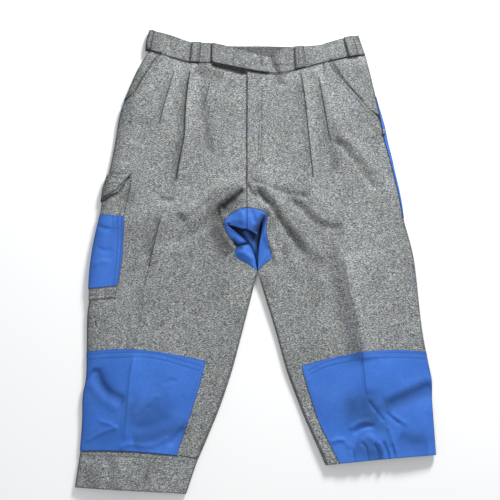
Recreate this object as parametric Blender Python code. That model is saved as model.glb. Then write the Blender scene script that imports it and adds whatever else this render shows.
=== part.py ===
# Knee breeches laid flat on their back with the front side up.
# Tables are in millimetres: x across, y up the body to the waist, z up from the floor.
# Right and left are the wearer's, so the right leg is on the -X side.

import math
from collections import namedtuple

import bpy
import bmesh
from mathutils import Vector

for old in list(bpy.data.objects):
    bpy.data.objects.remove(old)

MM = 0.001
MIDDLE = Vector((9.825, 4.015, 0.0))  # middle of the outline, which becomes the origin

# Cloth
GAP = 0.3      # kept at every seam and under every piece that lies on another
WOOL = 2.0     # milled wool of the fronts and backs
CANVAS = 1.0   # blue reinforcing cloth
POCKET = 1.4   # wool of the thigh pocket
STRAP = 1.5    # belt loop
BAND = 2.6     # waistband, two layers of wool

# Flat lay
FOLD = 3.8         # height of the side seams, half the thickness of the garment at its edges
PUFF = 1.2         # extra height of the front away from its edges
PUFF_REACH = 30.0
EDGE_REACH = 60.0  # how far a thicker edge reaches into the front
SEAM_CELLS = 3     # cells across a rounded edge of the front
BACK_SEAM_CELLS = 4
BACK_CELLS = 5     # cells across the middle of a back panel
FLANK = 6.0        # columns on each side of a pleat line
MOUTH_STEP = 3.0   # columns along the edge of a pocket mouth
WAIST_ROWS = 5     # rows that follow the curve of the waist seam
FLY_X = -5.0       # centre front
LAP = 8.0          # how far the right front reaches under the left one at the fly
LAP_START = 28.0   # the right front starts to dip this far before the centre front
LAP_SLOPE = 24.0   # and is down over this length

WOOL_GREY = (0.27, 0.28, 0.27, 1.0)
CANVAS_BLUE = (0.06, 0.19, 0.62, 1.0)
SILVER = (0.75, 0.75, 0.73, 1.0)

# Rows of a leg from waist to hem: rows in the span, and where its last row ends
# on the side seam and on the inner edge. The gusset span takes its inner ends from a table.
Span = namedtuple("Span", "name rows side_y inner_y")
RIGHT_SPANS = (
    Span("waist", 0, 365, 323), Span("pocket mouth", 3, 289, 258), Span("hip", 1, 268, 232),
    Span("fly end", 4, 171, 128), Span("flap top", 2, 132, 73), Span("flap end", 2, 85, None),
    Span("panel top", 1, 62, None), Span("panel end", 5, -67, None), Span("pocket end", 1, -86, -68),
    Span("knee patch top", 4, -171, -201), Span("band seam", 7, -330, -342),
)
LEFT_SPANS = (
    Span("waist", 0, 355, 323), Span("pocket mouth", 4, 252, 238), Span("hip", 1, 236, 213),
    Span("fly end", 3, 171, 128), Span("crotch", 2, 128, 73), Span("gusset", 8, -62, None),
    Span("knee patch top", 5, -171, -203), Span("leg end", 7, -336, -352),
)
FLY_END, GUSSET_TOP, GUSSET_END, KNEE_TOP, LAST_ROW = 8, 10, 18, 23, 30

# Outline of each leg: y, x
RIGHT_SIDE = (
    (365, -181), (346, -195), (319, -206), (282, -219), (244, -230), (193, -235), (149, -242),
    (132, -248), (108, -255), (62, -258), (2, -269), (-39, -272), (-86, -272), (-171, -270),
    (-217, -268), (-237, -274), (-286, -272), (-330, -274),
)
LEFT_SIDE = (
    (355, 207), (331, 212), (282, 223), (252, 230), (226, 237), (193, 241), (171, 246), (128, 254),
    (92, 261), (54, 264), (22, 270), (-5, 277), (-60, 281), (-100, 283), (-140, 286), (-171, 291),
    (-187, 292), (-216, 300), (-229, 296), (-257, 297), (-336, 299),
)
RIGHT_INSEAM = ((-36, 12.8), (-80, 2), (-120, -8), (-201, -29), (-256, -47), (-312, -70), (-342, -83))
LEFT_INSEAM = ((-36, 13.2), (-80, 25), (-120, 38), (-203, 60), (-275, 87), (-331, 112), (-352, 121))

# Seam between each front and the gusset, from the centre seam round to the crotch point: x, y
RIGHT_GUSSET = ((-20, 71), (-42, 56), (-46, 43), (-37, 24), (-23, 7), (-27, -12), (-9, -21), (12.8, -36))
LEFT_GUSSET = ((10, 71), (22, 68), (31, 61), (27, 41), (28, 22), (38, -15), (25, -23), (13.2, -36))

# Lines that the columns of a front follow: y, x
RIGHT_GUIDES = (
    # outer pleat, then the front edge of the thigh pocket
    ((340, -134), (220, -162), (133, -204), (62, -214), (-5, -214), (-36, -217), (-86, -225), (-330, -232)),
    # inner pleat, then the pressed crease
    ((331, -104), (267, -112), (175, -121), (112, -128), (54, -149), (28, -157), (-32, -164), (-65, -175),
     (-172, -190), (-241, -199), (-330, -207)),
    # small pleat, then the inner edge of the knee patch
    ((304, -72), (220, -82), (112, -80), (54, -86), (-10, -70), (-60, -48), (-189, -73), (-224, -81),
     (-298, -104), (-338, -118)),
)
LEFT_GUIDES = (
    # outer pleat
    ((304, 125), (248, 133), (178, 142), (60, 190), (0, 215), (-171, 240), (-336, 252)),
    # inner pleat, then the pressed crease
    ((323, 94), (267, 100), (175, 104), (103, 109), (-2, 156), (-86, 169), (-136, 183), (-172, 186),
     (-240, 193), (-336, 200)),
    # topstitched fly, then the inner edge of the knee patch
    ((314, 24), (157, 24), (94, 28), (68, 45), (42, 46), (-19, 58), (-80, 55), (-201, 86), (-240, 97),
     (-284, 111), (-309, 123), (-352, 145)),
)
RIGHT_MOUTH = ((365, -157), (359, -160), (336, -177), (317, -188), (289, -202))
LEFT_MOUTH = ((355, 139), (343, 145), (310, 165), (288, 182), (252, 212))

# Waistband: x, y
FRONT_SEAM = (
    (-186, 366), (-160, 358), (-133, 348), (-106, 340), (-67, 341), (-5, 326), (39, 319), (63, 321),
    (88, 328), (133, 341), (177, 352), (207, 356),
)
FRONT_TOP = (
    (-180, 404), (-143, 394), (-107, 380), (-68, 378), (-32, 369), (21, 353), (35, 351), (46, 360),
    (57, 370), (89, 371), (124, 374), (164, 388), (196, 394),
)
BACK_SEAM = ((-186, 366), (-107, 341), (-34, 337), (124, 336), (207, 355))
BACK_TOP = ((-180, 404), (-107, 379), (-34, 375), (62, 374), (124, 374), (164, 387), (196, 394))
BACK_CENTRE = ((337, 20), (73, FLY_X))   # centre back seam: y, x
TAB_END = -68.0
TAB_STEP = (42.0, 27.0)  # the left band climbs onto the right one between these x

BAND_FOLD = 4.0      # height of the band's side folds over the floor
BAND_ROWS = 3
BAND_RIPPLE = 0.3    # how much of the height of the folds below it is left at its upper edge
BAND_LEAN = 150.0    # the slant of the side folds dies out over this length of the band
TAB_COVER = 1.2      # how far the tab reaches past the band under it
STRAP_WIDTH = 18.0
LOOP_REACH = 34.0    # the band is lifted this far to each side of the loop at the back
LOOP_BOW = 1.8       # how far a belt loop stands off the band
LOOP_ROWS = 5

# How far the side seam is rolled onto the front, seen from above: y, distance
LEFT_ROLL = (
    (300, 0), (278, 3), (252, 4), (228, 7), (193, 6.5), (171, 5.5), (128, 4.5), (85, 4), (57, 3), (33, 0),
)

# Half the thickness at the edges, and what lies on the front and back there: row, value
RIGHT_HALF = ((0, FOLD), (9, FOLD), (10, 6.0), (19, 6.0), (20, 4.6), (21, FOLD), (30, FOLD))
LEFT_HALF = ((0, FOLD), (26, FOLD), (28, 5.0), (30, 5.0))
LAYER = CANVAS + GAP
POCKET_STACK = 2 * POCKET + 2 * GAP + 0.2
RIGHT_COVER = ((9, 0.0), (10, POCKET_STACK), (19, POCKET_STACK), (20, 0.0), (22, 0.0), (23, LAYER))
LEFT_COVER = ((2, 0.0), (3, LAYER), (13, LAYER), (14, 0.0), (22, 0.0), (23, LAYER))
RIGHT_LIFT = ((2, 0.0), (3, LAYER), (9, LAYER), (10, 0.0))
LEFT_LIFT = ((2, 0.0), (3, LAYER), (13, LAYER), (14, 0.0))
POCKET_DEPTH = 125.0   # how far the thigh pocket reaches onto the back
POCKET_ROWS = (10, 19)
PANEL_ROWS = (13, 18)
POCKET_FRONT, POCKET_BACK = 6, 6   # columns of the pocket to each side of the side seam
# Rows between which the flap lies, from its cut corner towards the back
FLAP_ROWS = ((9.42, 9.5), (9.44, 9.83), (9.63, 11.1), (9.85, 11.6), (9.9, 11.75), (9.95, 11.9))
FLAP_BACK = (10.0, 12.0)
FLAP_CELLS = 5
FLAP_LIFT = 0.3                    # the flap stands this much further off the pocket
SEAT_ROWS = {"right": (3, 9), "left": (3, 13)}
KNEE_COLUMNS = 15    # from the side seam to the inner edge of a knee patch
FACING_SHORT = 1.5   # the facing stops this far from the lower end of the pocket mouth

# Knee band
HEM_SIDE, HEM_INNER = (-280, -386), (-101, -396)
HEM_ROWS = 3
TURNED = 1.5         # the band turned up inside the left leg
TURNED_ROWS = 2

# How far the rows bulge up between their ends: row, height
RIGHT_BOW = ((18, 0), (23, 15), (30, 5))
LEFT_BOW = ((18, 0), (23, 14), (30, 1))

# Folds of the front: height at the crest, reach on the left and right of the path as one walks
# along it, and the path
Fold = namedtuple("Fold", "name height left right path")
FOLDS = (
    Fold("right outer pleat", 3.4, 14, 4, ((-129, 356), (-134, 340), (-162, 218))),
    Fold("right inner pleat", 4.4, 16, 4.5, ((-102, 352), (-112, 267), (-121, 175), (-129, 100))),
    Fold("right small pleat", 2.2, 13, 4, ((-70, 345), (-72, 304), (-84, 205))),
    Fold("left inner pleat", 4.4, 4.5, 16, ((92, 345), (100, 267), (104, 175), (110, 92))),
    Fold("left outer pleat", 3.4, 4, 14, ((121, 345), (133, 248), (143, 165))),
    Fold("right leg's crown", 6.0, 75, 42,
         ((-150, 90), (-168, -60), (-188, -170), (-204, -300), (-212, -440))),
    Fold("right crease above the knee", 1.8, 12, 6, ((-142, 66), (-152, 26), (-163, -34), (-180, -108))),
    Fold("right crease below the knee", 1.5, 12, 6, ((-184, -130), (-199, -241), (-205, -309))),
    Fold("left crease", 2.4, 24, 8, ((153, 10), (163, -68), (175, -112), (187, -176), (197, -256))),
    Fold("crotch ridge, right", 6.0, 5, 15,
         ((2, 128), (-14, 113), (-34, 103), (-55, 86), (-72, 66), (-112, 38))),
    Fold("crotch trough, right", -3.0, 6, 5, ((-2, 114), (-22, 94), (-41, 79), (-52, 58), (-54, 34))),
    Fold("first thigh trough, right", -2.8, 11, 11, ((-40, 76), (-81, 46), (-118, 22), (-170, -6))),
    Fold("first thigh ridge, right", 2.2, 11, 11, ((-44, 58), (-80, 26), (-116, 2), (-150, -22))),
    Fold("second thigh ridge, right", 1.6, 10, 11, ((-40, 24), (-66, 4), (-98, -24), (-128, -50))),
    Fold("second thigh trough, right", -2.4, 12, 12, ((-26, -14), (-52, -46), (-84, -74), (-114, -112))),
    Fold("crotch ridge, left", 5.5, 15, 5,
         ((-8, 128), (8, 119), (28, 107), (46, 86), (70, 58), (106, 30), (152, -4))),
    Fold("crotch trough, left", -3.6, 5, 7, ((8, 114), (31, 91), (50, 66), (72, 40), (96, 8), (110, -34))),
    Fold("ridge along the gusset, left", 3.6, 6, 7,
         ((14, 100), (30, 82), (40, 58), (51, 22), (60, -14), (62, -52))),
    Fold("side trough, left", -2.4, 7, 7, ((94, 66), (124, 43), (148, 37), (178, 42))),
    Fold("hip trough, left", -3.2, 11, 8, ((134, 206), (160, 182), (182, 152), (200, 124), (222, 92))),
    Fold("thigh dimple, right", -2.4, 9, 9, ((-150, 92), (-126, 82), (-105, 84))),
    Fold("knee trough, right", -3.4, 7, 6, ((-274, -186), (-256, -208), (-240, -236), (-226, -274))),
    Fold("knee wrinkle, right", 2.2, 6, 6, ((-262, -320), (-240, -302), (-220, -295))),
    Fold("knee hollow, right", -1.8, 9, 9, ((-185, -296), (-155, -312), (-122, -330))),
    Fold("knee trough, left", -3.2, 11, 9, ((305, -216), (262, -226), (225, -241), (190, -243))),
    Fold("first knee wrinkle, left", 2.4, 6, 6, ((188, -256), (208, -278), (220, -290))),
    Fold("second knee wrinkle, left", 2.4, 6, 6, ((208, -270), (231, -282), (252, -287))),
    Fold("third knee wrinkle, left", 2.2, 6, 6, ((154, -308), (177, -296), (198, -286))),
    Fold("first gather, left", 2.2, 5, 5, ((174, -312), (176, -335), (177, -372))),
    Fold("second gather, left", 2.2, 5, 5, ((214, -314), (216, -335), (217, -372))),
    Fold("buckled band, left", 2.2, 5, 5, ((33, 362), (37, 351), (46, 325), (50, 308))),
)
FOLD_FADE = 30.0  # folds die out over this length at each end

# Broad swellings of the front: centre x and y, reach in x and y, height
Swell = namedtuple("Swell", "name x y reach_x reach_y height")
SWELLS = (
    Swell("crotch hood", -3, 84, 36, 24, 3.0),
    Swell("crotch", 2, 30, 60, 70, 4.0),
    Swell("left thigh", 120, 0, 60, 80, 1.5),
    Swell("left knee", 200, -260, 70, 60, 1.5),
    Swell("turned-up band, left", 210, -345, 90, 45, 2.5),
)

# Edge of the opening inside the gusset at each row from its centre seam to the crotch point,
# its height, and how far the cloth swells between the seam and this edge
Rim = namedtuple("Rim", "x y z swell")
RIGHT_RIM = (
    Rim(-5.15, 36, 11, 3), Rim(-15, 36, 11, 3), Rim(-31, 43, 10, 2.5), Rim(-38, 42, 10, 0.8),
    Rim(-29, 34, 13, 1.5), Rim(-13, 21, 14, 2), Rim(1, 7, 13, 2.5), Rim(9, -13, 11.5, 1.5),
    Rim(11, -31, 9, 0),
)
LEFT_RIM = (
    Rim(-4.85, 35, 11, 3), Rim(3, 32, 10.5, 3), Rim(12, 26, 9.5, 2), Rim(20.5, 52, 9, 1),
    Rim(22, 40, 11, 0.6), Rim(18, 22, 12, 1), Rim(14.5, 2, 11.5, 2), Rim(13.6, -17, 10, 1),
    Rim(13.4, -31, 9, 0),
)
GUSSET_CELLS = 4
INNER_FOLD = 5.0          # height of the fold inside the opening
INNER_FOLD_REACH = 0.22   # its reach up and down, as a share of the gusset's length
BACK_GUSSET_MIDDLE = Vector((0.0, 18.0, 0.0))
BACK_GUSSET_SHRINK = 0.975
BACK_GUSSET_TIP = 1.0

SLIDER_SIZE = (5.0, 8.0, 2.4)
SLIDER_BEVEL = 0.8
SLIDER_AT = (233.5, 210.0, 9.4)

Leg = namedtuple("Leg", """name sign spans side inseam gusset guides mouth mouth_rows
                        half cover lift bow roll""")
RIGHT = Leg("right", -1, RIGHT_SPANS, RIGHT_SIDE, RIGHT_INSEAM, RIGHT_GUSSET, RIGHT_GUIDES, RIGHT_MOUTH, 3,
            RIGHT_HALF, RIGHT_COVER, RIGHT_LIFT, RIGHT_BOW, ((0, 0), (1, 0)))
LEFT = Leg("left", 1, LEFT_SPANS, LEFT_SIDE, LEFT_INSEAM, LEFT_GUSSET, LEFT_GUIDES, LEFT_MOUTH, 4,
           LEFT_HALF, LEFT_COVER, LEFT_LIFT, LEFT_BOW, LEFT_ROLL)


def at(table, key):
    # Value at key in a table whose first column rises or falls
    rows = table if table[0][0] <= table[-1][0] else table[::-1]
    if key <= rows[0][0]:
        return rows[0][1]
    for (k0, v0), (k1, v1) in zip(rows, rows[1:]):
        if key <= k1:
            return v0 + (v1 - v0) * (key - k0) / (k1 - k0)
    return rows[-1][1]


def mix(a, b, t):
    return a + (b - a) * t


def smooth(t):
    t = min(max(t, 0.0), 1.0)
    return t * t * (3.0 - 2.0 * t)


def spread(a, b, cells):
    return [mix(a, b, k / cells) for k in range(cells + 1)]


def fold_height(fold, x, y):
    best = None
    run = 0.0
    for (x0, y0), (x1, y1) in zip(fold.path, fold.path[1:]):
        length = math.hypot(x1 - x0, y1 - y0)
        ux, uy = (x1 - x0) / length, (y1 - y0) / length
        s = min(max((x - x0) * ux + (y - y0) * uy, 0.0), length)
        dx, dy = x - x0 - s * ux, y - y0 - s * uy
        away = math.hypot(dx, dy)
        if best is None or away < best[0]:
            best = (away, run + s, ux * dy - uy * dx)
        run += length
    away, s, cross = best
    reach = fold.left if cross > 0 else fold.right
    fade = smooth(s / FOLD_FADE) * smooth((run - s) / FOLD_FADE)
    return fold.height * fade * math.exp(-(away / reach) ** 2)


def relief(x, y):
    # Height of folds and swellings over the flat front
    total = sum(fold_height(fold, x, y) for fold in FOLDS)
    for s in SWELLS:
        total += s.height * math.exp(-((x - s.x) / s.reach_x) ** 2 - ((y - s.y) / s.reach_y) ** 2)
    return total


class Section:
    # One row of a leg: its ends in plan and its thickness at the edges

    def __init__(self, leg, row, side_y, inner, first):
        self.leg, self.row = leg, row
        self.side = (at(leg.side, side_y), side_y)
        self.inner = inner
        raised = inner[1] + (BACK_CENTRE[0][0] - leg.spans[0].inner_y) * smooth(1.0 - row / WAIST_ROWS)
        self.back_inner = (at(BACK_CENTRE, raised), inner[1]) if row < GUSSET_TOP else inner
        self.first = first or self
        self.half = at(leg.half, row)
        self.cover = at(leg.cover, row)
        self.lift = at(leg.lift, row)
        self.roll = at(leg.roll, side_y)
        self.inseam = smooth((row - GUSSET_END) / 2.0)
        self.mouth = row <= leg.mouth_rows

    def inner_x(self, back=False):
        # The inner end, half a gap short of the centre seam
        short = GAP / 2 if self.row < GUSSET_END else 0.0
        if not back and self.leg is RIGHT and self.row < FLY_END:
            short = -LAP
        return (self.back_inner if back else self.inner)[0] + self.leg.sign * short

    def y(self, x, back=False):
        (xs, ys), (xi, yi) = self.side, self.back_inner if back else self.inner
        f = (x - xs) / (xi - xs)
        bow = at(self.leg.bow, self.row) * 4.0 * f * (1.0 - f)
        return mix(ys, yi, f) + bow + self.waist(x, back)

    def waist(self, x, back):
        # Brings the first rows onto the curved waist seam, fading over five rows
        start = self.first
        (x0, y0), (x1, y1) = start.side, start.back_inner if back else start.inner
        seam = BACK_SEAM if back else FRONT_SEAM
        return smooth(1.0 - self.row / WAIST_ROWS) * (at(seam, x) - mix(y0, y1, (x - x0) / (x1 - x0)))

    def top(self, x, y):
        # Height of the front's outer side, were it not rounded down at the edges
        near = abs(x - self.side[0])
        if self.inseam > 0:
            near = min(near, abs(x - self.inner[0]) / self.inseam)
        thicker = 2.0 * (self.half - FOLD) - self.cover
        height = 2.0 * FOLD + thicker * (1.0 - smooth(near / EDGE_REACH)) + relief(x, y)
        height += PUFF * (1.0 - math.exp(-near / PUFF_REACH))
        return max(height, back_lift(self, x) + 2 * WOOL + GAP)


def back_lift(section, x):
    # Height of the back's underside over the floor, which holds what is sewn under it
    first, last = POCKET_ROWS
    inset = abs(x - section.side[0])
    if section.leg is RIGHT and first <= section.row <= last and inset < POCKET_DEPTH:
        return POCKET_STACK
    return section.lift


def lap_drop(x, row):
    # The right front dips to pass under the left one at the fly
    fade = 1.0 - smooth((row - FLY_END) / 2.0)
    return (WOOL + GAP + 0.1) * fade * smooth((x - (FLY_X - LAP_START)) / LAP_SLOPE)


def edge(section, s, radius):
    # A place on the rounded side, s round it from its outermost line: onto the front for s
    # over 0 and onto the back below it. Gives the inset, the rise in -1 to 1 and the angle.
    cover = section.half - radius
    a = min(abs(s) / radius, math.pi / 2)
    past = abs(s) - radius * a
    return cover + radius * (1.0 - math.cos(a)) + past, math.copysign(math.sin(a), s), math.copysign(a, s)


def seam_place(section, radius):
    # How far round the edge the side seam lies
    inset = section.roll - section.half + radius
    if inset <= 0:
        return 0.0
    if inset >= radius:
        return inset - radius + radius * math.pi / 2
    return radius * math.acos(1.0 - inset / radius)


def inner_edge(section, s, radius):
    # The same at the inner edge: rounded along the inseam, flat above it
    inset, rise, a = edge(section, s, radius)
    part = section.inseam
    return mix(s - GAP / 2, inset, part), mix(1.0, rise, part), mix(math.pi / 2, a, part)


def inner_steps(radius):
    # Distances round the inner edge, from the flat of the cloth to its seam
    return spread(radius * math.pi / 2, GAP / 2, SEAM_CELLS)


def front_columns(section):
    # Columns of a front from its side seam to its inner edge: x, rise, angle, way out
    leg, sign = section.leg, section.leg.sign
    radius = section.half - section.cover
    columns = []
    if section.mouth:
        mouth_x = at(leg.mouth, section.side[1])
        columns += [(mouth_x - sign * MOUTH_STEP * k, 1.0, math.pi / 2, sign) for k in range(SEAM_CELLS + 1)]
    else:
        seam = seam_place(section, radius)
        far = max(radius * math.pi / 2, seam + 2.0)
        for s in spread(seam + GAP / 2, far, SEAM_CELLS):
            inset, rise, a = edge(section, s, radius)
            columns.append((section.side[0] - sign * inset, rise, a, sign))
    ends = []
    for s in inner_steps(radius):
        inset, rise, a = inner_edge(section, s, radius)
        ends.append((section.inner_x() + sign * inset, rise, a, -sign))
    here = columns[-1][0]
    for guide in leg.guides:
        x, y = here, section.side[1]
        for _ in range(4):
            x = at(guide, y)
            y = section.y(x)
        near, far = x + sign * FLANK, x - sign * FLANK
        columns += [(place_x, 1.0, math.pi / 2, sign) for place_x in (mix(here, near, 0.5), near, x, far)]
        here = far
    columns.append((mix(here, ends[0][0], 0.5), 1.0, math.pi / 2, sign))
    return columns + ends


def front_row(section):
    # Outer side of one row of a front: places, and the way out of the cloth at each
    points = []
    for k, (x, rise, a, way) in enumerate(front_columns(section)):
        y = section.y(x)
        top = section.top(x, y)
        if section.mouth and k <= SEAM_CELLS:
            top = max(top, 2.0 * FOLD + WOOL + 2 * GAP)
        if section.leg is RIGHT:
            top -= lap_drop(x, section.row)
        z = mix(section.half, top, rise)
        points.append((Vector((x, y, z)), Vector((way * math.cos(a), 0.0, math.sin(a)))))
    return points


def back_row(section):
    # Outer side of one row of a back, from its side seam to its inner edge
    sign = section.leg.sign
    lift = back_lift(section, section.side[0])
    radius = section.half - lift
    points = []
    for s in spread(seam_place(section, radius) - GAP / 2, -radius * math.pi / 2, BACK_SEAM_CELLS):
        inset, rise, a = edge(section, s, radius)
        x = section.side[0] - sign * inset
        y = section.y(x)
        end = section.top(x, y) if rise > 0 else lift
        z = mix(section.half, end, abs(rise))
        points.append((Vector((x, y, z)), Vector((sign * math.cos(a), 0.0, math.sin(a)))))
    on_seam = section.row <= WAIST_ROWS
    radius = section.half - section.lift
    ends = []
    for s in inner_steps(radius):
        inset, rise, a = inner_edge(section, s, radius)
        x = section.inner_x(back=True) + sign * inset
        z = mix(section.half, section.lift, rise)
        place_at = Vector((x, section.y(x, on_seam), z))
        ends.append((place_at, Vector((-sign * math.cos(a), 0.0, -math.sin(a)))))
    for x in spread(points[-1][0].x, ends[0][0].x, BACK_CELLS)[1:-1]:
        place_at = Vector((x, section.y(x, on_seam), back_lift(section, x)))
        points.append((place_at, Vector((0.0, 0.0, -1.0))))
    return points + ends


def make_sections(leg):
    # Rows of a leg from waist to hem
    places = [(leg.spans[0].side_y, (FLY_X, leg.spans[0].inner_y))]
    for span in leg.spans[1:]:
        start_side, start_inner = places[-1][0], places[-1][1][1]
        for k in range(1, span.rows + 1):
            row = len(places)
            if GUSSET_TOP < row <= GUSSET_END:
                inner = leg.gusset[row - GUSSET_TOP - 1]
            else:
                y = mix(start_inner, span.inner_y, k / span.rows)
                inner = (FLY_X, y) if row <= GUSSET_TOP else (at(leg.inseam, y), y)
            places.append((mix(start_side, span.side_y, k / span.rows), inner))
    sections = []
    for row, (side_y, inner) in enumerate(places):
        sections.append(Section(leg, row, side_y, inner, sections[0] if sections else None))
    return sections


def solid(name, outer, inner, ring=False):
    # A closed wall between two matching grids of points
    rows, columns = len(outer), len(outer[0])
    cells = columns if ring else columns - 1
    bm = bmesh.new()
    front = [[bm.verts.new((p - MIDDLE) * MM) for p in line] for line in outer]
    back = [[bm.verts.new((p - MIDDLE) * MM) for p in line] for line in inner]
    for c in range(cells):
        d = (c + 1) % columns
        for r in range(rows - 1):
            for side in (front, back):
                bm.faces.new((side[r][c], side[r + 1][c], side[r + 1][d]))
                bm.faces.new((side[r][c], side[r + 1][d], side[r][d]))
        for r in (0, rows - 1):
            bm.faces.new((front[r][c], front[r][d], back[r][d]))
            bm.faces.new((front[r][c], back[r][d], back[r][c]))
    if not ring:
        for c in (0, columns - 1):
            for r in range(rows - 1):
                bm.faces.new((front[r][c], front[r + 1][c], back[r + 1][c]))
                bm.faces.new((front[r][c], back[r + 1][c], back[r][c]))
    bmesh.ops.recalc_face_normals(bm, faces=bm.faces)
    return finish(name, bm)


def finish(name, bm):
    mesh = bpy.data.meshes.new(name)
    bm.to_mesh(mesh)
    bm.free()
    mesh.shade_smooth()
    part = bpy.data.objects.new(name, mesh)
    bpy.context.collection.objects.link(part)
    return part


def sheet(name, grid, low, high, ring=False):
    # A piece that follows a grid of places and ways out, from low to high over it
    outer = [[p + n * high for p, n in line] for line in grid]
    inner = [[p + n * low for p, n in line] for line in grid]
    return solid(name, outer, inner, ring)


def colour(part, rgba, roughness, metallic=0.0):
    material = bpy.data.materials.new(part.name)
    material.use_nodes = True
    shader = material.node_tree.nodes["Principled BSDF"]
    shader.inputs["Base Color"].default_value = rgba
    shader.inputs["Roughness"].default_value = roughness
    shader.inputs["Metallic"].default_value = metallic
    part.data.materials.append(material)


def wool(part):
    colour(part, WOOL_GREY, 0.95)


def canvas(part):
    colour(part, CANVAS_BLUE, 0.7)


def tube_row(front, back):
    # One row right round a leg, from the inner edge of the front to that of the back
    (p, n), (q, m) = front[0], back[0]
    return front[:0:-1] + [((p + q) / 2, (n + m).normalized())] + back[1:]


def band_x(sign, s, v):
    # Place across the front of a place s round the waistband and v up it
    end = 0 if sign < 0 else -1
    quarter = BAND_FOLD * math.pi / 2
    a = min(abs(s), quarter) / BAND_FOLD
    lean = (FRONT_TOP[end][0] - FRONT_SEAM[end][0]) * v * max(0.0, 1.0 - abs(s) / BAND_LEAN)
    inset = BAND_FOLD * (1.0 - math.cos(a)) + max(abs(s) - quarter, 0.0)
    return FRONT_SEAM[end][0] + lean - sign * inset, a


def band_s(sign, x):
    # Distance round the band of a place x on its lower edge
    fold_x = FRONT_SEAM[0 if sign < 0 else -1][0]
    return abs(x - fold_x) + BAND_FOLD * (math.pi / 2 - 1.0)


def band_heights(sign, steps):
    # Height of the front half of the band at its lower and upper edge: s, height
    flat = 2.0 * BAND_FOLD + PUFF
    low, high = [], []
    for s in sorted(s for s in steps if s > 0):
        x, a = band_x(sign, s, 0.0)
        climb = (BAND + GAP) * smooth((TAB_STEP[0] - x) / (TAB_STEP[0] - TAB_STEP[1])) if sign > 0 else 0.0
        low.append((s, flat + climb + relief(x, at(FRONT_SEAM, x))))
        high.append((s, flat + climb + BAND_RIPPLE * relief(x, at(FRONT_SEAM, x))))
    return low, high


def band_place(sign, s, v, heights):
    # A place on the waistband, s round it from its side fold and v up it from 0 to 1
    x, a = band_x(sign, s, v)
    seam, top = (front_line, FRONT_TOP) if s >= 0 else (back_line, BACK_TOP)
    low, high = at(seam, x) + GAP * (1.5 + smooth(2.0 - abs(s) / 10.0)), at(top, x)
    if sign < 0 and s > 0 and x > TAB_END:
        low, high = low + TAB_COVER, high - TAB_COVER
    if s >= 0:
        height = mix(at(heights[0], s), at(heights[1], s), v)
    else:
        height = (STRAP + GAP) * smooth((LOOP_REACH - abs(x - BACK_CENTRE[0][1])) / STRAP_WIDTH)
    z = mix(BAND_FOLD, height, math.sin(a))
    out = Vector((sign * math.cos(a), 0.0, math.copysign(math.sin(a), s)))
    return Vector((x, mix(low, high, v), z)), out


def waistband(name, sign, front_x, back_x):
    quarter = BAND_FOLD * math.pi / 2
    steps = [band_s(sign, x) for x in front_x] + spread(quarter, -quarter, 2 * SEAM_CELLS)
    steps += [-band_s(sign, x) for x in back_x]
    heights = band_heights(sign, steps)
    grid = [[band_place(sign, s, v, heights) for s in steps] for v in spread(0.0, 1.0, BAND_ROWS)]
    for line in grid:
        # the ends of the band are cut square to its length
        for k, x in ((0, front_x[0]), (-1, back_x[-1])):
            line[k] = (Vector((x, line[k][0].y, line[k][0].z)), line[k][1])
    wool(sheet(name, grid, -BAND, 0.0))
    return heights


def belt_loop(name, sign, steps, heights, bow=LOOP_BOW):
    # A strap over the band, standing off it in the middle
    inside = [s for s, height in heights[0] if min(steps) + 1.0 < s < max(steps) - 1.0]
    steps = sorted(steps + inside, reverse=steps[0] > steps[-1])
    grid = []
    for v in spread(0.0, 1.0, LOOP_ROWS):
        off = bow * math.sin(math.pi * v)
        grid.append([(p + n * off, n) for p, n in (band_place(sign, s, v, heights) for s in steps)])
    wool(sheet(name, grid, GAP, GAP + STRAP))


def pocket_facing(leg, leg_sections, reach):
    # The cloth that shows beyond a slanted pocket mouth. It passes under the front, and its
    # last row runs just above the edge of the front below the mouth.
    grid = []
    sign = leg.sign
    for section in leg_sections[:leg.mouth_rows + 1]:
        inner_x = at(leg.mouth, section.side[1]) - sign * reach[section.row]
        grid.append(facing_row(section, inner_x, section.y))
    above, below = leg_sections[leg.mouth_rows:leg.mouth_rows + 2]
    ax = at(leg.mouth, above.side[1])
    ay, (bx, by) = above.y(ax), below.side

    def edge_y(x):
        return mix(by, ay, (x - bx) / (ax - bx)) + 2 * GAP

    y = by
    for _ in range(3):
        y = edge_y(at(leg.side, y) - sign * at(leg.roll, y))
    last = Section(leg, below.row, y, below.inner, below.first)
    grid.append(facing_row(last, ax + sign * FACING_SHORT, edge_y))
    wool(sheet("pocket_facing_" + leg.name, grid, -WOOL, 0.0))
    return grid


def facing_top(section, x):
    # The facing stays low enough to pass under the front
    return min(section.top(x, section.y(x)), 2.0 * FOLD + GAP / 2)


def facing_row(section, inner_x, y_of):
    sign = section.leg.sign
    radius = section.half - section.cover
    seam = seam_place(section, radius)
    points = []
    for s in spread(seam + GAP / 2, max(radius * math.pi / 2, seam + 1.0), SEAM_CELLS):
        inset, rise, a = edge(section, s, radius)
        x = section.side[0] - sign * inset
        z = mix(section.half, facing_top(section, x), rise)
        points.append((Vector((x, y_of(x), z)), Vector((sign * math.cos(a), 0.0, math.sin(a)))))
    for x in spread(points[-1][0].x, inner_x, 2)[1:]:
        points.append((Vector((x, y_of(x), facing_top(section, x))), Vector((0.0, 0.0, 1.0))))
    return points


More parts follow.
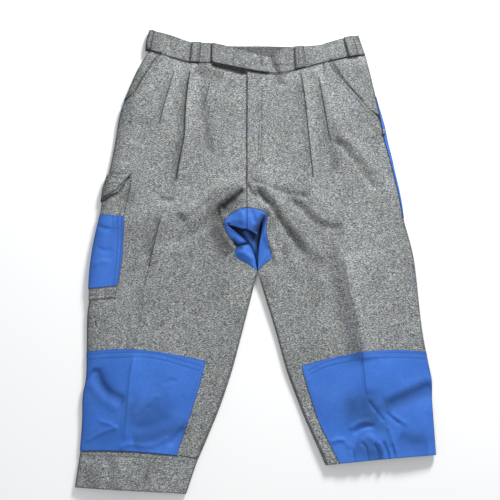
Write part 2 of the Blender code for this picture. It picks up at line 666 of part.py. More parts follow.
def gusset_half(leg, fronts, rims):
    # From the seam with a front to the edge of the opening in the middle of the gusset
    up = Vector((0.0, 0.0, 1.0))
    grid = []
    for row, rim in zip(range(GUSSET_TOP, GUSSET_END + 1), rims):
        outer = fronts[row][-1][0]
        inner = Vector(rim[:3])
        across = Vector((inner.x - outer.x, inner.y - outer.y, 0.0))
        start = outer + across.normalized() * (GAP + 0.1)
        start.x = outer.x if row == GUSSET_TOP else start.x
        line = []
        for t in spread(0.0, 1.0, GUSSET_CELLS):
            place_at = start.lerp(inner, t)
            place_at.z += rim.swell * math.sin(math.pi * t)
            line.append((place_at, up))
        grid.append(line)
    canvas(sheet("gusset_" + leg.name, grid, -CANVAS, 0.0))


def gusset_back(right_backs, left_backs):
    # The back half, flat but for one fold that stands up inside the opening
    down = Vector((0.0, 0.0, -1.0))
    grid = []
    for row in range(GUSSET_TOP, GUSSET_END + 1):
        ends = (line[row][-1][0] for line in (right_backs, left_backs))
        a, b = (BACK_GUSSET_MIDDLE.lerp(end, BACK_GUSSET_SHRINK) for end in ends)
        if row in (GUSSET_TOP, GUSSET_END):
            middle = (a.x + b.x) / 2
            a.x, b.x = middle - BACK_GUSSET_TIP, middle + BACK_GUSSET_TIP
        along = (row - GUSSET_TOP) / (GUSSET_END - GUSSET_TOP)
        height = INNER_FOLD * math.exp(-((along - 0.5) / INNER_FOLD_REACH) ** 2)
        grid.append([(Vector((mix(a.x, b.x, t), mix(a.y, b.y, t), height * math.sin(math.pi * t) ** 2)),
                      down)
                     for t in spread(0.0, 1.0, GUSSET_CELLS)])
    canvas(sheet("gusset_back", grid, -CANVAS, 0.0))


def pocket_row(front, back):
    # Columns of the thigh pocket: its front edge, round the side seam and onto the back
    row = tube_row(front, back)
    seam = len(front) - 1
    return row[seam - POCKET_FRONT:seam + POCKET_BACK + 1]


def between(rows, row):
    # A row of places between two rows of a grid
    low = min(int(row), len(rows) - 2)
    return [(p.lerp(q, row - low), n.lerp(m, row - low).normalized())
            for (p, n), (q, m) in zip(rows[low], rows[low + 1])]


def thigh_pocket(fronts, backs):
    first, last = POCKET_ROWS
    rows = [pocket_row(f, b) for f, b in zip(fronts, backs)]
    wool(sheet("cargo_pocket", rows[first:last + 1], GAP, GAP + POCKET))
    low = 2 * GAP + POCKET
    canvas(sheet("cargo_panel", rows[PANEL_ROWS[0]:PANEL_ROWS[1] + 1], low, low + CANVAS))
    flap = []
    for t in spread(0.0, 1.0, FLAP_CELLS):
        line = []
        for c in range(len(rows[0])):
            start, end = FLAP_ROWS[c] if c < len(FLAP_ROWS) else FLAP_BACK
            line.append(between(rows, mix(start, end, t))[c])
        flap.append(line)
    wool(sheet("cargo_flap", flap, low + FLAP_LIFT, low + FLAP_LIFT + POCKET))


def ring_row(front, back):
    row = tube_row(front, back)
    (p, n), (q, m) = front[-1], back[-1]
    return [((p + q) / 2, (n + m).normalized())] + row[1:-1]


def hem_band(sections, fronts, backs):
    # The knee band below the right leg, a flattened ring
    last = sections[LAST_ROW]
    top = ring_row(fronts[LAST_ROW], backs[LAST_ROW])
    (xs, ys), (xi, yi) = last.side, last.inner
    grid = []
    for t in spread(0.0, 1.0, HEM_ROWS):
        line = []
        for p, n in top:
            f = (p.x - xs) / (xi - xs)
            hem = Vector((mix(HEM_SIDE[0], HEM_INNER[0], f), mix(HEM_SIDE[1], HEM_INNER[1], f), p.z))
            start = Vector((p.x, p.y - GAP - 0.1, p.z))
            line.append((start.lerp(hem, t), n))
        grid.append(line)
    wool(sheet("hem_band_right", grid, -WOOL, 0.0, ring=True))


def turned_band(fronts):
    # The knee band turned up inside the left leg, a flattened ring between front and back
    grid = []
    for line in fronts[LAST_ROW - TURNED_ROWS:]:
        upper = [p - n * (WOOL + GAP) for p, n in line[SEAM_CELLS + 1:-SEAM_CELLS - 1]]
        ways = [1.0] + [0.0] * (len(upper) - 2) + [-1.0]
        over = [(p, Vector((way, 0.0, 1.0))) for p, way in zip(upper, ways)]
        under = [(Vector((p.x, p.y, WOOL + GAP)), Vector((way, 0.0, -1.0))) for p, way in zip(upper, ways)]
        grid.append(over + under[::-1])
    wool(sheet("hem_band_left", grid, -TURNED, 0.0, ring=True))


def zip_slider():
    bm = bmesh.new()
    bmesh.ops.create_cube(bm, size=1.0)
    bmesh.ops.scale(bm, vec=Vector(SLIDER_SIZE), verts=bm.verts)
    bmesh.ops.bevel(bm, geom=bm.edges[:], offset=SLIDER_BEVEL, segments=2, profile=0.5, affect="EDGES",
                    material=-1)
    bmesh.ops.triangulate(bm, faces=bm.faces)
    bmesh.ops.translate(bm, vec=Vector(SLIDER_AT) - MIDDLE, verts=bm.verts)
    bmesh.ops.scale(bm, vec=Vector((MM, MM, MM)), verts=bm.verts)
    part = finish("zip_slider", bm)
    colour(part, SILVER, 0.35, 1.0)


grids = {}
for leg in (RIGHT, LEFT):
    leg_sections = make_sections(leg)
    fronts = [front_row(section) for section in leg_sections]
    backs = [back_row(section) for section in leg_sections]
    grids[leg.name] = (leg_sections, fronts, backs)
    wool(sheet("front_" + leg.name, fronts, -WOOL, 0.0))
    wool(sheet("back_" + leg.name, backs, -WOOL, 0.0))
    first, last = SEAT_ROWS[leg.name]
    canvas(sheet("seat_patch_" + leg.name, backs[first:last + 1], GAP, GAP + CANVAS))
    knee = [line[:KNEE_COLUMNS] for line in fronts[KNEE_TOP:LAST_ROW + 1]]
    canvas(sheet("knee_patch_" + leg.name, knee, GAP, GAP + CANVAS))

facings = (pocket_facing(RIGHT, grids["right"][0], (6.0, 6.0, 4.0, -0.4)),
           pocket_facing(LEFT, grids["left"][0], (6.0, 6.0, 6.0, 4.0, -0.4)))
gusset_half(RIGHT, grids["right"][1], RIGHT_RIM)
gusset_half(LEFT, grids["left"][1], LEFT_RIM)
gusset_back(grids["right"][2], grids["left"][2])
thigh_pocket(*grids["right"][1:])
hem_band(*grids["right"])
turned_band(grids["left"][1])
zip_slider()

# Upper edge of the panels, which the waistband follows: x, y
front_line = sorted((p.x, p.y) for leg in (RIGHT, LEFT) for p, n in grids[leg.name][1][0])
front_line = sorted(front_line + [(p.x, p.y) for facing in facings for p, n in facing[0][:SEAM_CELLS + 2]])
back_line = sorted((p.x, p.y) for leg in (RIGHT, LEFT) for p, n in grids[leg.name][2][0])

heights = {}
shared = [p.x for p, n in grids["right"][1][0] if p.x > TAB_END + 4.0]
for leg, facing in ((RIGHT, facings[0]), (LEFT, facings[1])):
    leg_sections, fronts, backs = grids[leg.name]
    edge_x = [p.x for p, n in facing[0][SEAM_CELLS:SEAM_CELLS + 2]] + [p.x for p, n in fronts[0]]
    back_x = [p.x for p, n in backs[0][BACK_SEAM_CELLS:]]
    if leg is RIGHT:
        front_x = edge_x[::-1]
    else:
        step = spread(TAB_STEP[1], TAB_STEP[0], 3)
        front_x = [TAB_END] + shared[:-1] + sorted(edge_x + step)
    heights[leg.name] = waistband("waistband_" + leg.name, leg.sign, front_x, back_x)

quarter = BAND_FOLD * math.pi / 2
belt_loop("belt_loop_side_right", -1, [-quarter / 3] + spread(0.0, quarter, 3) + [12.0], heights["right"])
belt_loop("belt_loop_front_right", -1, [band_s(-1, x) for x in (-106.0, -89.0)], heights["right"])
belt_loop("belt_loop_front_left", 1, [band_s(1, x) for x in (99.0, 81.0)], heights["left"])
belt_loop("belt_loop_side_left", 1, [15.0, 24.0, 33.0], heights["left"])
belt_loop("belt_loop_back", -1, [-band_s(-1, x) for x in (11.5, 20.0, 28.5)], heights["right"], 0.0)
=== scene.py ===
# Knee breeches laid flat on their back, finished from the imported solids.
# Tables are in millimetres on the plan: x across, y up the body to the waist.
# Right and left are the wearer's, so the right leg is at the left of the picture.

import math
from collections import namedtuple

import bpy
import bmesh
import numpy as np
from mathutils import Matrix, Vector
from mathutils.bvhtree import BVHTree


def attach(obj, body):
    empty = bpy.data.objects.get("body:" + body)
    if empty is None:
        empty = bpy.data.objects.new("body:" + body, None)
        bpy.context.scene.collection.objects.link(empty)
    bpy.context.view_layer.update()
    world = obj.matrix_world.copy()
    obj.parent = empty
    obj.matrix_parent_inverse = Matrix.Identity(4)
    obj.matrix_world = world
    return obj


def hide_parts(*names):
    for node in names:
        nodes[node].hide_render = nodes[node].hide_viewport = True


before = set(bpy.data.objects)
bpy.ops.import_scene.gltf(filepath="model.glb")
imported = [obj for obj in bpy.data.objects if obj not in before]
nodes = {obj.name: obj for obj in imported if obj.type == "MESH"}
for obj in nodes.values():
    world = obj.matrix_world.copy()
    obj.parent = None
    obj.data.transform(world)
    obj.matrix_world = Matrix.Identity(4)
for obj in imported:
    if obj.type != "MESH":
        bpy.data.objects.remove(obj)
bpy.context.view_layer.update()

millimetre = 0.001
middle = (9.825, 4.015)   # plan point at the frame's origin
farAway = 1e9             # more than any distance on the plan


# Pieces

# levels of subdivision, cloth, the cut of what shows in metres, its area, what it lies on
Piece = namedtuple("Piece", "levels cloth width length area rests")
pieces = {
    "back_right": Piece(2, "wool", 0.29, 0.71, 0.164, ()),
    "back_left": Piece(2, "wool", 0.29, 0.71, 0.162, ()),
    "front_right": Piece(3, "wool", 0.29, 0.70, 0.160, ("back_right",)),
    "front_left": Piece(3, "wool", 0.29, 0.70, 0.158, ("back_left",)),
    "seat_patch_right": Piece(2, "blue", 0.255, 0.19, 0.036, ()),
    "seat_patch_left": Piece(2, "blue", 0.27, 0.225, 0.053, ()),
    "gusset_right": Piece(4, "blue", 0.06, 0.11, 0.0029, ("gusset_back",)),
    "gusset_left": Piece(4, "blue", 0.055, 0.11, 0.0025, ("gusset_back",)),
    "gusset_back": Piece(2, "blue", 0.083, 0.11, 0.006, ()),
    "waistband_right": Piece(3, "wool", 0.42, 0.04, 0.0162, ("back_right",)),
    "waistband_left": Piece(3, "wool", 0.51, 0.04, 0.02, ("back_left",)),
    "belt_loop_front_right": Piece(3, "loop", 0.018, 0.047, 0.0008, ("waistband_right",)),
    "belt_loop_front_left": Piece(3, "loop", 0.02, 0.052, 0.00094, ("waistband_left",)),
    "belt_loop_side_right": Piece(2, "loop", 0.023, 0.042, 0.00085, ("waistband_right",)),
    "belt_loop_side_left": Piece(3, "loop", 0.018, 0.046, 0.00075, ("waistband_left",)),
    "belt_loop_back": Piece(3, "loop", 0.018, 0.04, 0.00071, ("waistband_right",)),
    "pocket_facing_right": Piece(2, "wool", 0.05, 0.10, 0.0026, ("back_right",)),
    "pocket_facing_left": Piece(3, "wool", 0.09, 0.115, 0.0051, ("back_left",)),
    "cargo_pocket": Piece(3, "wool", 0.17, 0.22, 0.0305, ("front_right", "back_right")),
    "cargo_panel": Piece(4, "blue", 0.17, 0.13, 0.0189, ("cargo_pocket",)),
    "cargo_flap": Piece(3, "wool", 0.15, 0.06, 0.0058, ("cargo_pocket",)),
    "knee_patch_right": Piece(4, "blue", 0.205, 0.17, 0.0294, ("front_right",)),
    "knee_patch_left": Piece(4, "blue", 0.215, 0.18, 0.0327, ("front_left",)),
    "hem_band_right": Piece(3, "wool", 0.39, 0.06, 0.0225, ("front_right",)),
    "hem_band_left": Piece(2, "wool", 0.34, 0.05, 0.0157, ("front_left",)),
}


# Creases

# height, reach to the left and right of the path as one walks along it, the length over which
# the ends die out, whether it is pressed sharp, and the path
Crease = namedtuple("Crease", "name height left right fade sharp path")
pleats = (
    Crease("right outer pleat", 2.0, 10, 1.6, 14, True, (
        (-134, 322), (-140, 300), (-150, 262), (-158, 224))),
    Crease("right inner pleat", 3.2, 13, 1.8, 18, True, (
        (-106, 322), (-110, 290), (-113, 250), (-114, 205), (-120, 165), (-128, 118))),
    Crease("right small pleat", 1.6, 8, 1.4, 12, True, ((-71, 304), (-73, 290), (-81, 262))),
    Crease("left inner pleat", 1.2, 3.0, 11, 18, True, (
        (90, 318), (94, 290), (99, 240), (103, 190), (109, 120))),
    Crease("left outer pleat", 1.2, 3.0, 10, 14, True, (
        (122, 308), (128, 270), (133, 236), (138, 204), (143, 190))),
    Crease("right pressed crease", 3.4, 12, 2.4, 12, True, (
        (-149, 61), (-158, 22), (-165, -12), (-169, -32))),
    Crease("lower right pressed crease", 1.0, 12, 3, 16, True, ((-168, -50), (-178, -108), (-187, -164))),
    Crease("left pressed crease", 4.4, 26, 11, 14, True, (
        (156, -8), (161, -40), (167, -78), (176, -112), (188, -190))),
    Crease("right inner press line", 0.8, 6, 1.8, 20, True, ((-46, -52), (-52, -80), (-62, -128))),
)
# those that run on over the knee patches
pressedLines = [p for p in pleats if p.name in ("lower right pressed crease", "left pressed crease")]
wrinkles = (
    Crease("under the hip, right", -1.2, 8, 10, 20, False, (
        (-206, 236), (-184, 224), (-166, 222), (-150, 226))),
    Crease("over the pocket, right", 1.2, 6, 9, 20, False, ((-228, 200), (-200, 186), (-168, 176))),
    Crease("below the small pleat", -1.6, 6, 7, 14, False, (
        (-80, 250), (-78, 222), (-74, 190), (-68, 164))),
    Crease("beside the small pleat", 1.2, 6, 8, 14, False, ((-66, 246), (-58, 214), (-56, 180))),
    Crease("across the small pleat", -1.0, 5, 7, 10, False, ((-84, 240), (-74, 250), (-58, 246))),
    Crease("under the band at the fly", -1.3, 8, 9, 14, False, ((-78, 326), (-60, 316), (-38, 310))),
    Crease("end of the inner pleat", -2.0, 3, 4, 8, False, ((-154, 93), (-142, 89), (-127, 89))),
    Crease("crotch ridge, upper right", 6.0, 15, 11, 14, False, (
        (-8, 120), (-26, 116), (-44, 110), (-60, 102), (-78, 88), (-100, 70), (-120, 52))),
    Crease("crotch fold, right", -5.5, 5, 5, 10, False, (
        (-8, 109), (-25, 92), (-38, 81), (-47, 71), (-47, 56))),
    Crease("second trough, right", -2.8, 5, 5, 14, False, (
        (-62, 94), (-75, 81), (-89, 68), (-102, 56), (-122, 44))),
    Crease("ridge between, right", 2.0, 6, 6, 14, False, ((-58, 78), (-76, 66), (-92, 53), (-112, 38))),
    Crease("second ridge, right", -3.4, 6, 6, 14, False, (
        (-50, 69), (-71, 51), (-83, 39), (-104, 24), (-132, 8))),
    Crease("third ridge, right", 3.0, 8, 9, 18, False, (
        (-48, 48), (-62, 36), (-90, 17), (-112, -6), (-128, -24))),
    Crease("by the gusset, right", -2.4, 6, 6, 14, False, ((-50, 48), (-52, 26), (-44, 10), (-32, -6))),
    Crease("third trough, right", -1.6, 9, 10, 22, False, (
        (-30, -36), (-52, -66), (-82, -92), (-108, -116))),
    Crease("inner thigh, right", -1.1, 8, 8, 18, False, ((-22, -16), (-36, -34), (-48, -52))),
    Crease("waist trough, right", -1.6, 8, 8, 18, False, ((-56, 104), (-84, 82), (-114, 58), (-140, 50))),
    Crease("outer thigh, right", 0.4, 8, 10, 24, False, ((-196, 40), (-188, -10), (-198, -70))),
    Crease("above the knee, right", -1.0, 8, 10, 22, False, ((-150, -60), (-124, -104), (-104, -160))),
    Crease("low thigh, right", -1.0, 6, 6, 16, False, ((-186, -72), (-190, -104), (-184, -140))),
    Crease("side of the thigh, right", 0.9, 7, 9, 20, False, ((-258, -96), (-236, -120), (-212, -132))),
    Crease("small fold at the fly end", -2.0, 3, 3, 7, False, ((-3, 120), (2, 102), (13, 92))),
    Crease("crotch ridge, upper left", 5.0, 15, 10, 16, False, (
        (8, 120), (20, 113), (34, 99), (48, 80), (64, 55), (86, 26), (108, 0), (130, -22))),
    Crease("crotch fold, left", -3.9, 6, 6, 12, False, (
        (10, 108), (24, 90), (36, 73), (51, 50), (66, 28), (78, 10), (92, -16))),
    Crease("thigh hollow, left", -1.6, 6, 6, 18, False, ((48, 48), (51, 26), (56, -8), (61, -40))),
    Crease("thigh ridge, left", 2.0, 7, 7, 18, False, ((62, 26), (66, 6), (74, -20), (84, -60))),
    Crease("ridge along the gusset", 2.6, 5, 6, 12, False, (
        (24, 82), (37, 70), (41, 57), (34, 36), (32, 18), (41, 0), (48, -30))),
    Crease("upper line, left", -2.8, 5, 3, 12, False, (
        (1, 126), (21, 117), (48, 105), (75, 97), (102, 90))),
    Crease("soft hollow, left", -1.6, 9, 9, 10, False, ((66, 80), (80, 73), (94, 66))),
    Crease("side trough, left", -3.8, 7, 6, 12, False, (
        (60, 92), (82, 77), (102, 57), (122, 43), (141, 37), (160, 42))),
    Crease("faint trough, left", -1.7, 6, 6, 10, False, ((78, 104), (90, 96), (102, 88))),
    Crease("faint ridge, left", 1.2, 6, 8, 14, False, ((90, 112), (112, 96), (136, 72))),
    Crease("hip fold, left", -4.2, 7, 4, 12, False, (
        (142, 196), (160, 182), (182, 152), (200, 126), (218, 102))),
    Crease("hip ridge, left", 2.6, 8, 7, 14, False, ((150, 206), (174, 192), (200, 160), (222, 130))),
    Crease("hip hollow, left", -1.2, 10, 10, 18, False, ((136, 160), (152, 136), (160, 108))),
    Crease("side of the thigh, left", -1.0, 8, 9, 22, False, ((258, 20), (226, 4), (196, 8))),
    Crease("inner thigh, left", 0.9, 8, 9, 24, False, ((50, -38), (72, -76), (90, -126))),
    Crease("above the knee, left", 0.9, 8, 9, 22, False, ((132, -70), (124, -112), (116, -168))),
    Crease("side above the knee, left", -1.0, 7, 9, 20, False, ((276, -98), (250, -112), (222, -110))),
    Crease("under the band, left", -1.0, 5, 6, 14, False, ((66, 300), (70, 282), (76, 262))),
    Crease("under the tab", -3.0, 3, 4, 10, False, ((-72, 336), (-50, 330), (-24, 323), (-6, 318))),
    Crease("beside the fly", 0.8, 6, 7, 20, False, ((-22, 300), (-26, 240), (-20, 170))),
    Crease("waist, right side", -1.2, 4, 5, 10, False, ((-158, 338), (-176, 334), (-194, 318))),
    Crease("first at the knee, right", -2.8, 6, 9, 10, False, (
        (-252, -195), (-245, -217), (-231, -235), (-201, -251))),
    Crease("hook at the knee, right", -2.4, 3, 3, 6, False, (
        (-272, -222), (-265, -212), (-257, -204), (-249, -199))),
    Crease("second at the knee, right", 1.8, 7, 8, 12, False, (
        (-265, -214), (-252, -233), (-234, -251), (-207, -267))),
    Crease("knee line, right", 2.2, 9, 2.4, 14, True, (
        (-189, -174), (-195, -217), (-198, -278), (-202, -318))),
    Crease("third at the knee, right", 1.8, 3, 4, 10, False, (
        (-267, -317), (-248, -305), (-229, -297), (-208, -292))),
    Crease("fourth at the knee, right", 1.4, 3, 4, 10, False, ((-249, -281), (-229, -286), (-210, -295))),
    Crease("fifth at the knee, right", 1.8, 4, 5, 10, False, (
        (-212, -327), (-193, -319), (-167, -322), (-148, -317), (-129, -306))),
    Crease("sixth at the knee, right", -2.2, 4, 5, 12, False, ((-132, -324), (-118, -306), (-106, -290))),
    Crease("seventh at the knee, right", -1.6, 9, 9, 20, False, ((-200, -290), (-160, -292), (-124, -274))),
    Crease("pucker, right", -1.5, 3, 4, 8, False, ((-140, -226), (-128, -218), (-118, -220))),
    Crease("pucker, second right", 1.4, 3, 4, 8, False, ((-166, -262), (-156, -246), (-142, -242))),
    Crease("first at the knee, left", -3.0, 14, 9, 14, False, (
        (303, -225), (268, -238), (237, -251), (219, -260))),
    Crease("second at the knee, left", 1.6, 10, 9, 14, False, (
        (300, -212), (266, -228), (236, -242), (212, -252))),
    Crease("knee line, left", 2.6, 16, 3, 12, True, ((184, -174), (187, -207), (190, -243))),
    Crease("third at the knee, left", -2.0, 3, 3, 9, False, ((190, -248), (203, -266), (219, -286))),
    Crease("fourth at the knee, left", 1.2, 4, 4, 10, False, ((224, -270), (240, -280), (258, -290))),
    Crease("fifth at the knee, left", -1.8, 3, 4, 10, False, ((216, -266), (230, -278), (246, -290))),
    Crease("sixth at the knee, left", -2.6, 3.5, 3.5, 10, False, (
        (166, -306), (177, -295), (192, -291), (204, -292))),
    Crease("seventh at the knee, left", 2.2, 4, 4, 10, False, ((156, -298), (174, -286), (196, -282))),
    Crease("eighth at the knee, left", 2.2, 3.5, 4, 8, False, ((127, -318), (140, -312), (156, -313))),
    Crease("ninth at the knee, left", -1.4, 9, 8, 14, False, ((236, -302), (258, -316), (288, -318))),
    Crease("turned in at the knee, left", 1.2, 5, 4, 10, False, ((150, -312), (160, -324), (164, -342))),
    Crease("small bulge at the hem, left", 1.4, 6, 5, 9, False, ((184, -304), (198, -312), (204, -322))),
    Crease("first gather, left", -2.0, 2.6, 2.6, 7, False, ((176, -314), (186, -326), (190, -362))),
    Crease("second gather, left", -2.4, 2.4, 2.4, 7, False, ((199, -316), (205, -334), (206, -362))),
    Crease("gather between, left", 1.8, 2.6, 2.6, 7, False, ((206, -312), (213, -334), (214, -362))),
    Crease("light line at the hem, left", 1.8, 3, 4, 8, False, ((221, -287), (227, -306), (234, -334))),
    Crease("third gather, left", -2.6, 2.4, 2.4, 7, False, ((213, -312), (221, -338), (222, -362))),
    Crease("fourth gather, left", -2.0, 2.6, 2.6, 7, False, ((227, -316), (231, -340), (232, -362))),
    Crease("fifth gather, left", -1.6, 3, 3, 8, False, ((160, -322), (166, -340), (166, -362))),
    Crease("hem, first right", -2.8, 8, 6, 10, False, ((-231, -338), (-225, -358), (-228, -404))),
    Crease("hem, second right", 2.4, 6, 8, 10, False, ((-208, -338), (-206, -362), (-208, -404))),
    Crease("hem, third right", -2.2, 3, 5, 10, False, ((-161, -338), (-164, -362), (-170, -404))),
    Crease("buckled band", -1.6, 5, 6, 6, False, ((34, 354), (40, 342), (47, 324), (52, 314))),
    Crease("band, second", 0.9, 5, 6, 8, False, ((22, 352), (26, 340), (30, 318))),
    Crease("band at the side", -1.0, 5, 6, 12, False, ((-150, 396), (-146, 376), (-140, 350))),
    Crease("band over the pleats", 0.9, 5, 6, 12, False, ((118, 376), (112, 352), (104, 326))),
    Crease("thigh pocket, first", -1.4, 4, 5, 10, False, ((-262, 46), (-246, 36), (-232, 38))),
    Crease("thigh pocket, second", 1.2, 4, 5, 10, False, ((-266, -30), (-250, -20), (-232, -24))),
    Crease("thigh pocket, third", -1.1, 4, 5, 10, False, ((-262, 6), (-244, -2), (-230, 4))),
    Crease("flap", 1.2, 4, 5, 8, False, ((-252, 122), (-238, 118), (-222, 124))),
    Crease("gusset, first", 1.8, 5, 5, 8, False, ((-16, 70), (-13, 56), (-16, 42))),
    Crease("gusset, second", -1.8, 4, 4, 8, False, ((2, 70), (6, 56), (9, 42))),
    Crease("gusset, right rim", 2.4, 5, 4, 6, False, ((-42, 50), (-31, 36), (-14, 26), (3, 14), (10, 2))),
    Crease("gusset, right fold", -3.6, 4, 4, 6, False, ((-30, 12), (-19, 7), (-8, 8), (0, 12))),
    Crease("gusset, lower right", 2.0, 5, 5, 8, False, ((-24, -4), (-8, -8), (6, -20))),
    Crease("gusset, left side", 1.8, 4, 4, 8, False, ((30, 58), (26, 40), (27, 20), (32, 0))),
)
hollows = (
    Crease("back of the knee, right", 0.9, 9, 9, 24, False, ((-260, -196), (-200, -208), (-130, -200))),
    Crease("back of the knee, left", 0.9, 9, 9, 24, False, ((280, -190), (210, -204), (140, -198))),
    Crease("under the seat, right", 0.8, 9, 9, 24, False, ((-150, 40), (-90, 10), (-40, -30))),
    Crease("under the seat, left", 0.8, 9, 9, 24, False, ((170, 20), (110, -10), (50, -50))),
)


def smooth(t):
    t = np.clip(t, 0.0, 1.0)
    return t * t * (3.0 - 2.0 * t)


def curve(points, steps=8):
    # A smooth curve through the points
    points = [np.array(p, float) for p in points]
    ends = [2 * points[0] - points[1]] + points + [2 * points[-1] - points[-2]]
    out = []
    for a, b, c, d in zip(ends, ends[1:], ends[2:], ends[3:]):
        for k in range(steps):
            t = k / steps
            out.append(0.5 * (2 * b + (c - a) * t + (2 * a - 5 * b + 4 * c - d) * t * t
                              + (3 * b - a - 3 * c + d) * t ** 3))
    return out + [points[-1]]


def creaseHeight(crease, x, y):
    path = curve(crease.path, 4)
    best = np.full(len(x), farAway)
    along = np.zeros(len(x))
    side = np.zeros(len(x))
    run = 0.0
    for a, b in zip(path, path[1:]):
        length = math.hypot(*(b - a))
        ux, uy = (b - a) / length
        s = np.clip((x - a[0]) * ux + (y - a[1]) * uy, 0.0, length)
        dx, dy = x - a[0] - s * ux, y - a[1] - s * uy
        away = np.hypot(dx, dy)
        nearer = away < best
        best = np.where(nearer, away, best)
        along = np.where(nearer, run + s, along)
        side = np.where(nearer, ux * dy - uy * dx, side)
        run += length
    reach = np.where(side > 0, crease.left, crease.right)
    fade = smooth(along / crease.fade) * smooth((run - along) / crease.fade)
    across = np.exp(-best / reach) if crease.sharp else np.exp(-(best / reach) ** 2)
    return crease.height * fade * across


def creaseHeights(creases, x, y):
    return sum(creaseHeight(crease, x, y) for crease in creases)


def unevenness(x, y):
    # Slow waves that keep the cloth from lying dead flat
    wave = {"broad": 0.45, "slanted": 0.30, "crossing": 0.22}   # heights in millimetres
    broad = np.sin(x / 23.0 + 1.3 * np.sin(y / 61.0)) * np.sin(y / 37.0 + 0.8)
    slanted = np.sin(x / 13.0 - y / 29.0 + 2.0)
    return wave["broad"] * broad + wave["slanted"] * slanted + wave["crossing"] * np.sin(x / 31.0 + y / 17.0)


# Cloth from the solids

skin = {
    "merge": 1e-6, "rimAngle": 50.0, "rimCrease": 0.5,   # metres, degrees, 0 soft to 1 crisp
    "backTop": 4.0, "backFade": 2.0,      # hollows of the back fade out up to this height
    "frontFoot": 3.6, "frontFade": 2.6,   # creases of the front grow from this height up
    "frontsOver": 4.4,                    # height of the cloth that the fronts lie on
    "frontLayer": (0.0, -2.0), "patchLayer": (1.3, 0.3),   # upper and lower face over that
}


def solidFaces(name):
    # A solid's mesh with its triangles joined to larger faces
    bm = bmesh.new()
    bm.from_mesh(nodes[name].data)
    bmesh.ops.remove_doubles(bm, verts=bm.verts, dist=skin["merge"])
    bmesh.ops.join_triangles(bm, faces=bm.faces, angle_face_threshold=math.pi,
                             angle_shape_threshold=math.pi)
    return bm


def rimEdges(bm):
    # The edges at which the cloth ends
    return [e for e in bm.edges
            if len(e.link_faces) == 2 and e.calc_face_angle() > math.radians(skin["rimAngle"])]


def finished(name):
    # A smooth copy of a solid's mesh, with its rim kept crisp
    bm = solidFaces(name)
    bmesh.ops.recalc_face_normals(bm, faces=bm.faces)
    crease = bm.edges.layers.float.new("crease_edge")
    for e in rimEdges(bm):
        e[crease] = skin["rimCrease"]
    mesh = bpy.data.meshes.new(name + "_cloth")
    bm.to_mesh(mesh)
    bm.free()
    piece = bpy.data.objects.new(name + "_cloth", mesh)
    bpy.context.scene.collection.objects.link(piece)
    subdivision = piece.modifiers.new("Subdivision", "SUBSURF")
    subdivision.levels = subdivision.render_levels = pieces[name].levels
    graph = bpy.context.evaluated_depsgraph_get()
    fine = bpy.data.meshes.new_from_object(piece.evaluated_get(graph))
    piece.modifiers.clear()
    piece.data = fine
    bpy.data.meshes.remove(mesh)
    fine.name = piece.name
    fine.materials.clear()
    fine.shade_smooth()
    return piece


def places(mesh):
    co = np.empty(len(mesh.vertices) * 3)
    mesh.vertices.foreach_get("co", co)
    return co.reshape(-1, 3)


def setPlaces(mesh, co):
    mesh.vertices.foreach_set("co", co.ravel())
    mesh.update()


def onPlan(co):
    # Plan x and y, and the height over the floor, in millimetres
    return co[:, 0] / millimetre + middle[0], co[:, 1] / millimetre + middle[1], co[:, 2] / millimetre


def crumple(name, piece):
    co = places(piece.data)
    x, y, z = onPlan(co)
    if name.startswith(("back", "seat", "belt_loop_back", "gusset_back")):
        lift = np.maximum(creaseHeights(hollows, x, y), 0.0)
        lift = lift * smooth((skin["backTop"] - z) / skin["backFade"])
    else:
        lift = creaseHeights(wrinkles, x, y) + unevenness(x, y)
        if name.startswith(("front", "waistband")):
            lift = lift + creaseHeights(pleats, x, y)
        elif name.startswith("knee"):
            lift = lift + creaseHeights(pressedLines, x, y)
        lift = lift * smooth((z - skin["frontFoot"]) / skin["frontFade"])
    if name.startswith(("front", "knee")):
        # Never lower than the cloth under it
        normals = np.empty(len(co) * 3)
        piece.data.vertex_normals.foreach_get("vector", normals)
        upper, lower = skin["frontLayer" if name.startswith("front") else "patchLayer"]
        layer = np.where(normals[2::3] > 0, upper, lower)
        lift = np.maximum(lift, np.minimum(skin["frontsOver"] + layer - z, 0.0))
    co[:, 2] += lift * millimetre
    setPlaces(piece.data, co)


cloth = {}
for name in pieces:
    piece = finished(name)
    crumple(name, piece)
    cloth[name] = piece
    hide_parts(name)
print("cloth made")


# Materials

class Value:
    # A shader socket that takes part in sums

    def __init__(self, shader, socket):
        self.shader, self.socket = shader, socket

    def sum(self, operation, a, b):
        return self.shader.node("ShaderNodeMath", {"operation": operation}, {0: a, 1: b}, 0)

    def __add__(self, other):
        return self.sum("ADD", self, other)

    def __radd__(self, other):
        return self.sum("ADD", other, self)

    def __sub__(self, other):
        return self.sum("SUBTRACT", self, other)

    def __rsub__(self, other):
        return self.sum("SUBTRACT", other, self)

    def __mul__(self, other):
        return self.sum("MULTIPLY", self, other)

    def __rmul__(self, other):
        return self.sum("MULTIPLY", other, self)


